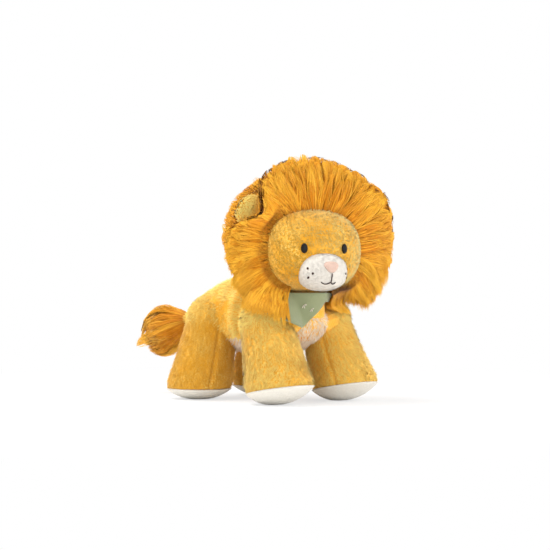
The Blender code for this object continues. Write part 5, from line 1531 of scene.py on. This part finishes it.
class LION_OT_ears(Making, bpy.types.Operator):
    """Two rounded ears with their short pile"""

    bl_idname = "lion.ears"
    bl_label = "Ears"

    def build(self, sizes):
        for label, side in (("left", 1), ("right", -1)):
            name, place, surface = "ear_" + label, ear_frame(side), ear(side)
            add_skin("ear_plush_" + label, name, surface, 64, 40, "yellow_ground", (name,))

            def flow(points):
                """Away from a point below the middle of the ear."""
                local = (points - place[:3, 3]) @ place[:3, :3]
                local[:, 2] += 0.012
                return local @ place[:3, :3].T

            # The ear's pile is paler towards its tip: painted light on the ear's upper part.
            add_pile("ear_pile_" + label, name, "plush_yellow", surface, EAR_STRANDS, 301 + side, flow, sizes.face_pile,
                     sizes.strand_width, "yellow_pile", tint=lambda u, v, points: v - 0.30, curl=0.3, clump=0.0018)


class LION_OT_tail(Making, bpy.types.Operator):
    """Tail stalk and the tuft of long pile at its end"""

    bl_idname = "lion.tail"
    bl_label = "Tail"

    def build(self, sizes):
        root = TAIL_ROOT + PLACE
        bend = ("torso", "tail", tuple(root - (0, TAIL_BEND[0], 0)), tuple(root + (0, TAIL_BEND[1], 0)))
        add_skin("tail_plush", bend, stalk, 40, 40, "yellow_ground", ("tail_skin",))
        add_pile("tail_pile", bend, "plush_yellow", stalk, TAIL_STRANDS, 401, steady(*direction(TAIL_DROOP)),
                 sizes.body_pile, sizes.strand_width, "yellow_pile")
        add_skin("tuft_form", "tuft", tuft, 96, 40, "orange_ground", ("tail_tuft",))

        chance = np.random.default_rng(402)
        count, axis = sizes.tuft_strands, direction(TUFT_DROOP)
        turn = chance.uniform(0, 2 * PI, count)
        layer = chance.random(count) ** 0.5
        begin = TUFT_ROOTS_END * chance.random(count) ** 1.5
        places = joined(layer * np.cos(turn), layer * np.sin(turn), begin * 2)
        lock, leader, own = locks_of(places, TUFT_LOCKS, chance)
        end = np.clip(begin + TUFT_REACH + 0.10 * own[:, 0] + 0.06 * chance.normal(size=count), *TUFT_ENDS)
        span = np.linspace(0, 1, LOCK_POINTS)
        share = begin[:, None] + (end - begin)[:, None] * span
        lean = turn[:, None] + (0.10 * own[:, 1] + 0.06 * chance.normal(size=count))[:, None] * span
        wide = np.maximum(tuft_radius(np.minimum(share, 0.97)), TUFT_THINNEST * TUFT_RADIUS)
        wide = wide + 0.003 * (own[:, 2:] * span)
        radius = wide * (0.30 + 0.70 * layer[:, None]) * np.minimum(1, 0.35 + 2 * (share - begin[:, None] + 0.1))
        paths = around(TAIL_END, axis, share * TUFT_LENGTH + 0.001, radius, lean)
        paths = gathered(paths, lock, leader, chance.uniform(*TUFT_PULLS, count))
        facing = unit(paths[:, 3] - (TAIL_END + axis * TUFT_LENGTH * 0.25))
        add_locks("tuft_pile", "tuft", paths, facing, own, 0.22, TUFT_SOFT, sizes, chance)


class LION_OT_bandana(Making, bpy.types.Operator):
    """Green cloth draped on the chest and shoulders, with stitched sprigs"""

    bl_idname = "lion.bandana"
    bl_label = "Bandana"

    def build(self, sizes):
        points, flat = cloth_grid(CLOTH_TOP_RAISE)
        piece = make_sheet("bandana_cloth", points, flat, "cloth_weave")
        thick = piece.modifiers.new("thickness", "SOLIDIFY")
        thick.thickness = CLOTH_THICKNESS
        thick.offset = 1
        carry(piece, "torso", ("bandana",))
        for sprig, (spread, share) in enumerate(SPRIG_PLACES, 1):
            for number, turn in enumerate(LEAF_TURNS, 1):
                middle = spread + SPRIG_REACH[0] * math.cos(turn), share + SPRIG_REACH[1] * math.sin(turn)
                add_skin(f"sprig_{sprig}_{number}", "torso", leaf(*middle, turn), 14, 10, "sprig_thread")


def aimed(scene, name, data, place, target):
    """Puts a lamp or camera at a place, turned to a target."""
    thing = bpy.data.objects.new(name, data)
    thing.location = place
    thing.rotation_euler = (target - place).to_track_quat("-Z", "Y").to_euler()
    scene.collection.objects.link(thing)
    return thing


class LION_OT_stage(bpy.types.Operator):
    """Pale floor, soft light and the camera"""

    bl_idname = "lion.stage"
    bl_label = "Stage"
    bl_options = {"REGISTER", "UNDO"}

    def execute(self, context):
        self.floor()
        self.light(context.scene)
        self.camera(context.scene)
        return {"FINISHED"}

    def floor(self):
        """A white floor that glows for the camera a short way off, so that it runs into the backdrop."""
        tree, shader = new_finish("floor_white", 1.0, 0.0)
        shader.inputs["Base Color"].default_value = (FLOOR_GREY, FLOOR_GREY, FLOOR_GREY, 1)
        place = put(tree, "ShaderNodeTexCoord").outputs["Object"]
        away = put(tree, "ShaderNodeVectorMath", {0: place}, operation="LENGTH").outputs["Value"]
        far = ranged(tree, away, GLOW_FROM, GLOW_TO, GLOW_LEAST)
        seen = put(tree, "ShaderNodeLightPath").outputs["Is Camera Ray"]
        share = put(tree, "ShaderNodeMath", {0: seen, 1: far}, operation="MULTIPLY").outputs[0]
        glow = put(tree, "ShaderNodeEmission").outputs[0]
        mix = put(tree, "ShaderNodeMixShader", {0: share, 1: shader.outputs[0], 2: glow})
        feed(tree, tree.nodes["Material Output"].inputs["Surface"], mix.outputs[0])
        mesh = bpy.data.meshes.new("floor")
        corners = [(FLOOR_HALF_SIDE * x, FLOOR_HALF_SIDE * y, 0) for x, y in ((-1, -1), (1, -1), (1, 1), (-1, 1))]
        mesh.from_pydata(corners, [], [(0, 1, 2, 3)])
        mesh.materials.append(bpy.data.materials["floor_white"])
        floor = bpy.data.objects.new("floor", mesh)
        bpy.context.scene.collection.objects.link(floor)

    def light(self, scene):
        """An even white surround and four area lamps, all aimed at the lion's middle."""
        world = bpy.data.worlds.new("studio")
        world.use_nodes = True
        tree = world.node_tree
        seen = put(tree, "ShaderNodeLightPath").outputs["Is Camera Ray"]
        strength = put(tree, "ShaderNodeMapRange", {"Value": seen, "To Min": AMBIENT, "To Max": 1.0})
        feed(tree, tree.nodes["Background"].inputs["Strength"], strength.outputs["Result"])
        feed(tree, tree.nodes["Background"].inputs["Color"], (1, 1, 1, 1))
        scene.world = world
        for name, place, power, size in LIGHTS:
            lamp = bpy.data.lights.new(name, "AREA")
            lamp.energy, lamp.size = power, size
            aimed(scene, name, lamp, Vector(place), Vector(LIGHT_AIM))

    def camera(self, scene):
        """Stands back from the lion by the turn and rise; its focal length makes the span fill the picture's width."""
        turn, rise = CAMERA_TURN, CAMERA_RISE
        back = Vector((math.sin(turn) * math.cos(rise), -math.cos(turn) * math.cos(rise), math.sin(rise)))
        right = Vector((math.cos(turn), math.sin(turn), 0))
        target = Vector(PLACE) + right * CAMERA_AIM[0] + back.cross(right) * CAMERA_AIM[1]
        eye = Vector(PLACE) + back * scene.lion_sizes.camera_distance
        data = bpy.data.cameras.new("camera")
        data.sensor_width = SENSOR_WIDTH
        data.lens = data.sensor_width / CAMERA_SPAN * (target - eye).length
        scene.camera = aimed(scene, "camera", data, eye, target)
        scene.view_settings.view_transform = "Standard"


MAKERS = (
    LION_OT_torso, LION_OT_legs, LION_OT_head, LION_OT_mane, LION_OT_ears, LION_OT_tail, LION_OT_bandana, LION_OT_stage,
)


class LION_PT_panel(bpy.types.Panel):
    """Lists the pieces that can be built"""

    bl_idname = "LION_PT_panel"
    bl_label = "Plush lion"
    bl_space_type = "VIEW_3D"
    bl_region_type = "UI"
    bl_category = "Lion"

    def draw(self, context):
        for maker in MAKERS:
            self.layout.operator(maker.bl_idname)
        for group in (context.scene.lion_sizes, context.scene.lion_colours):
            box = self.layout.box()
            for name in group.__annotations__:
                box.prop(group, name)


CLASSES = (LionSizes, LionColours, *MAKERS, LION_PT_panel)


def register():
    for kind in CLASSES:
        bpy.utils.register_class(kind)
    bpy.types.Scene.lion_sizes = bpy.props.PointerProperty(type=LionSizes)
    bpy.types.Scene.lion_colours = bpy.props.PointerProperty(type=LionColours)


def unregister():
    del bpy.types.Scene.lion_colours
    del bpy.types.Scene.lion_sizes
    for kind in reversed(CLASSES):
        bpy.utils.unregister_class(kind)


def main():
    register()
    for maker in MAKERS:
        group, name = maker.bl_idname.split(".")
        getattr(getattr(bpy.ops, group), name)()


if __name__ == "__main__":
    main()
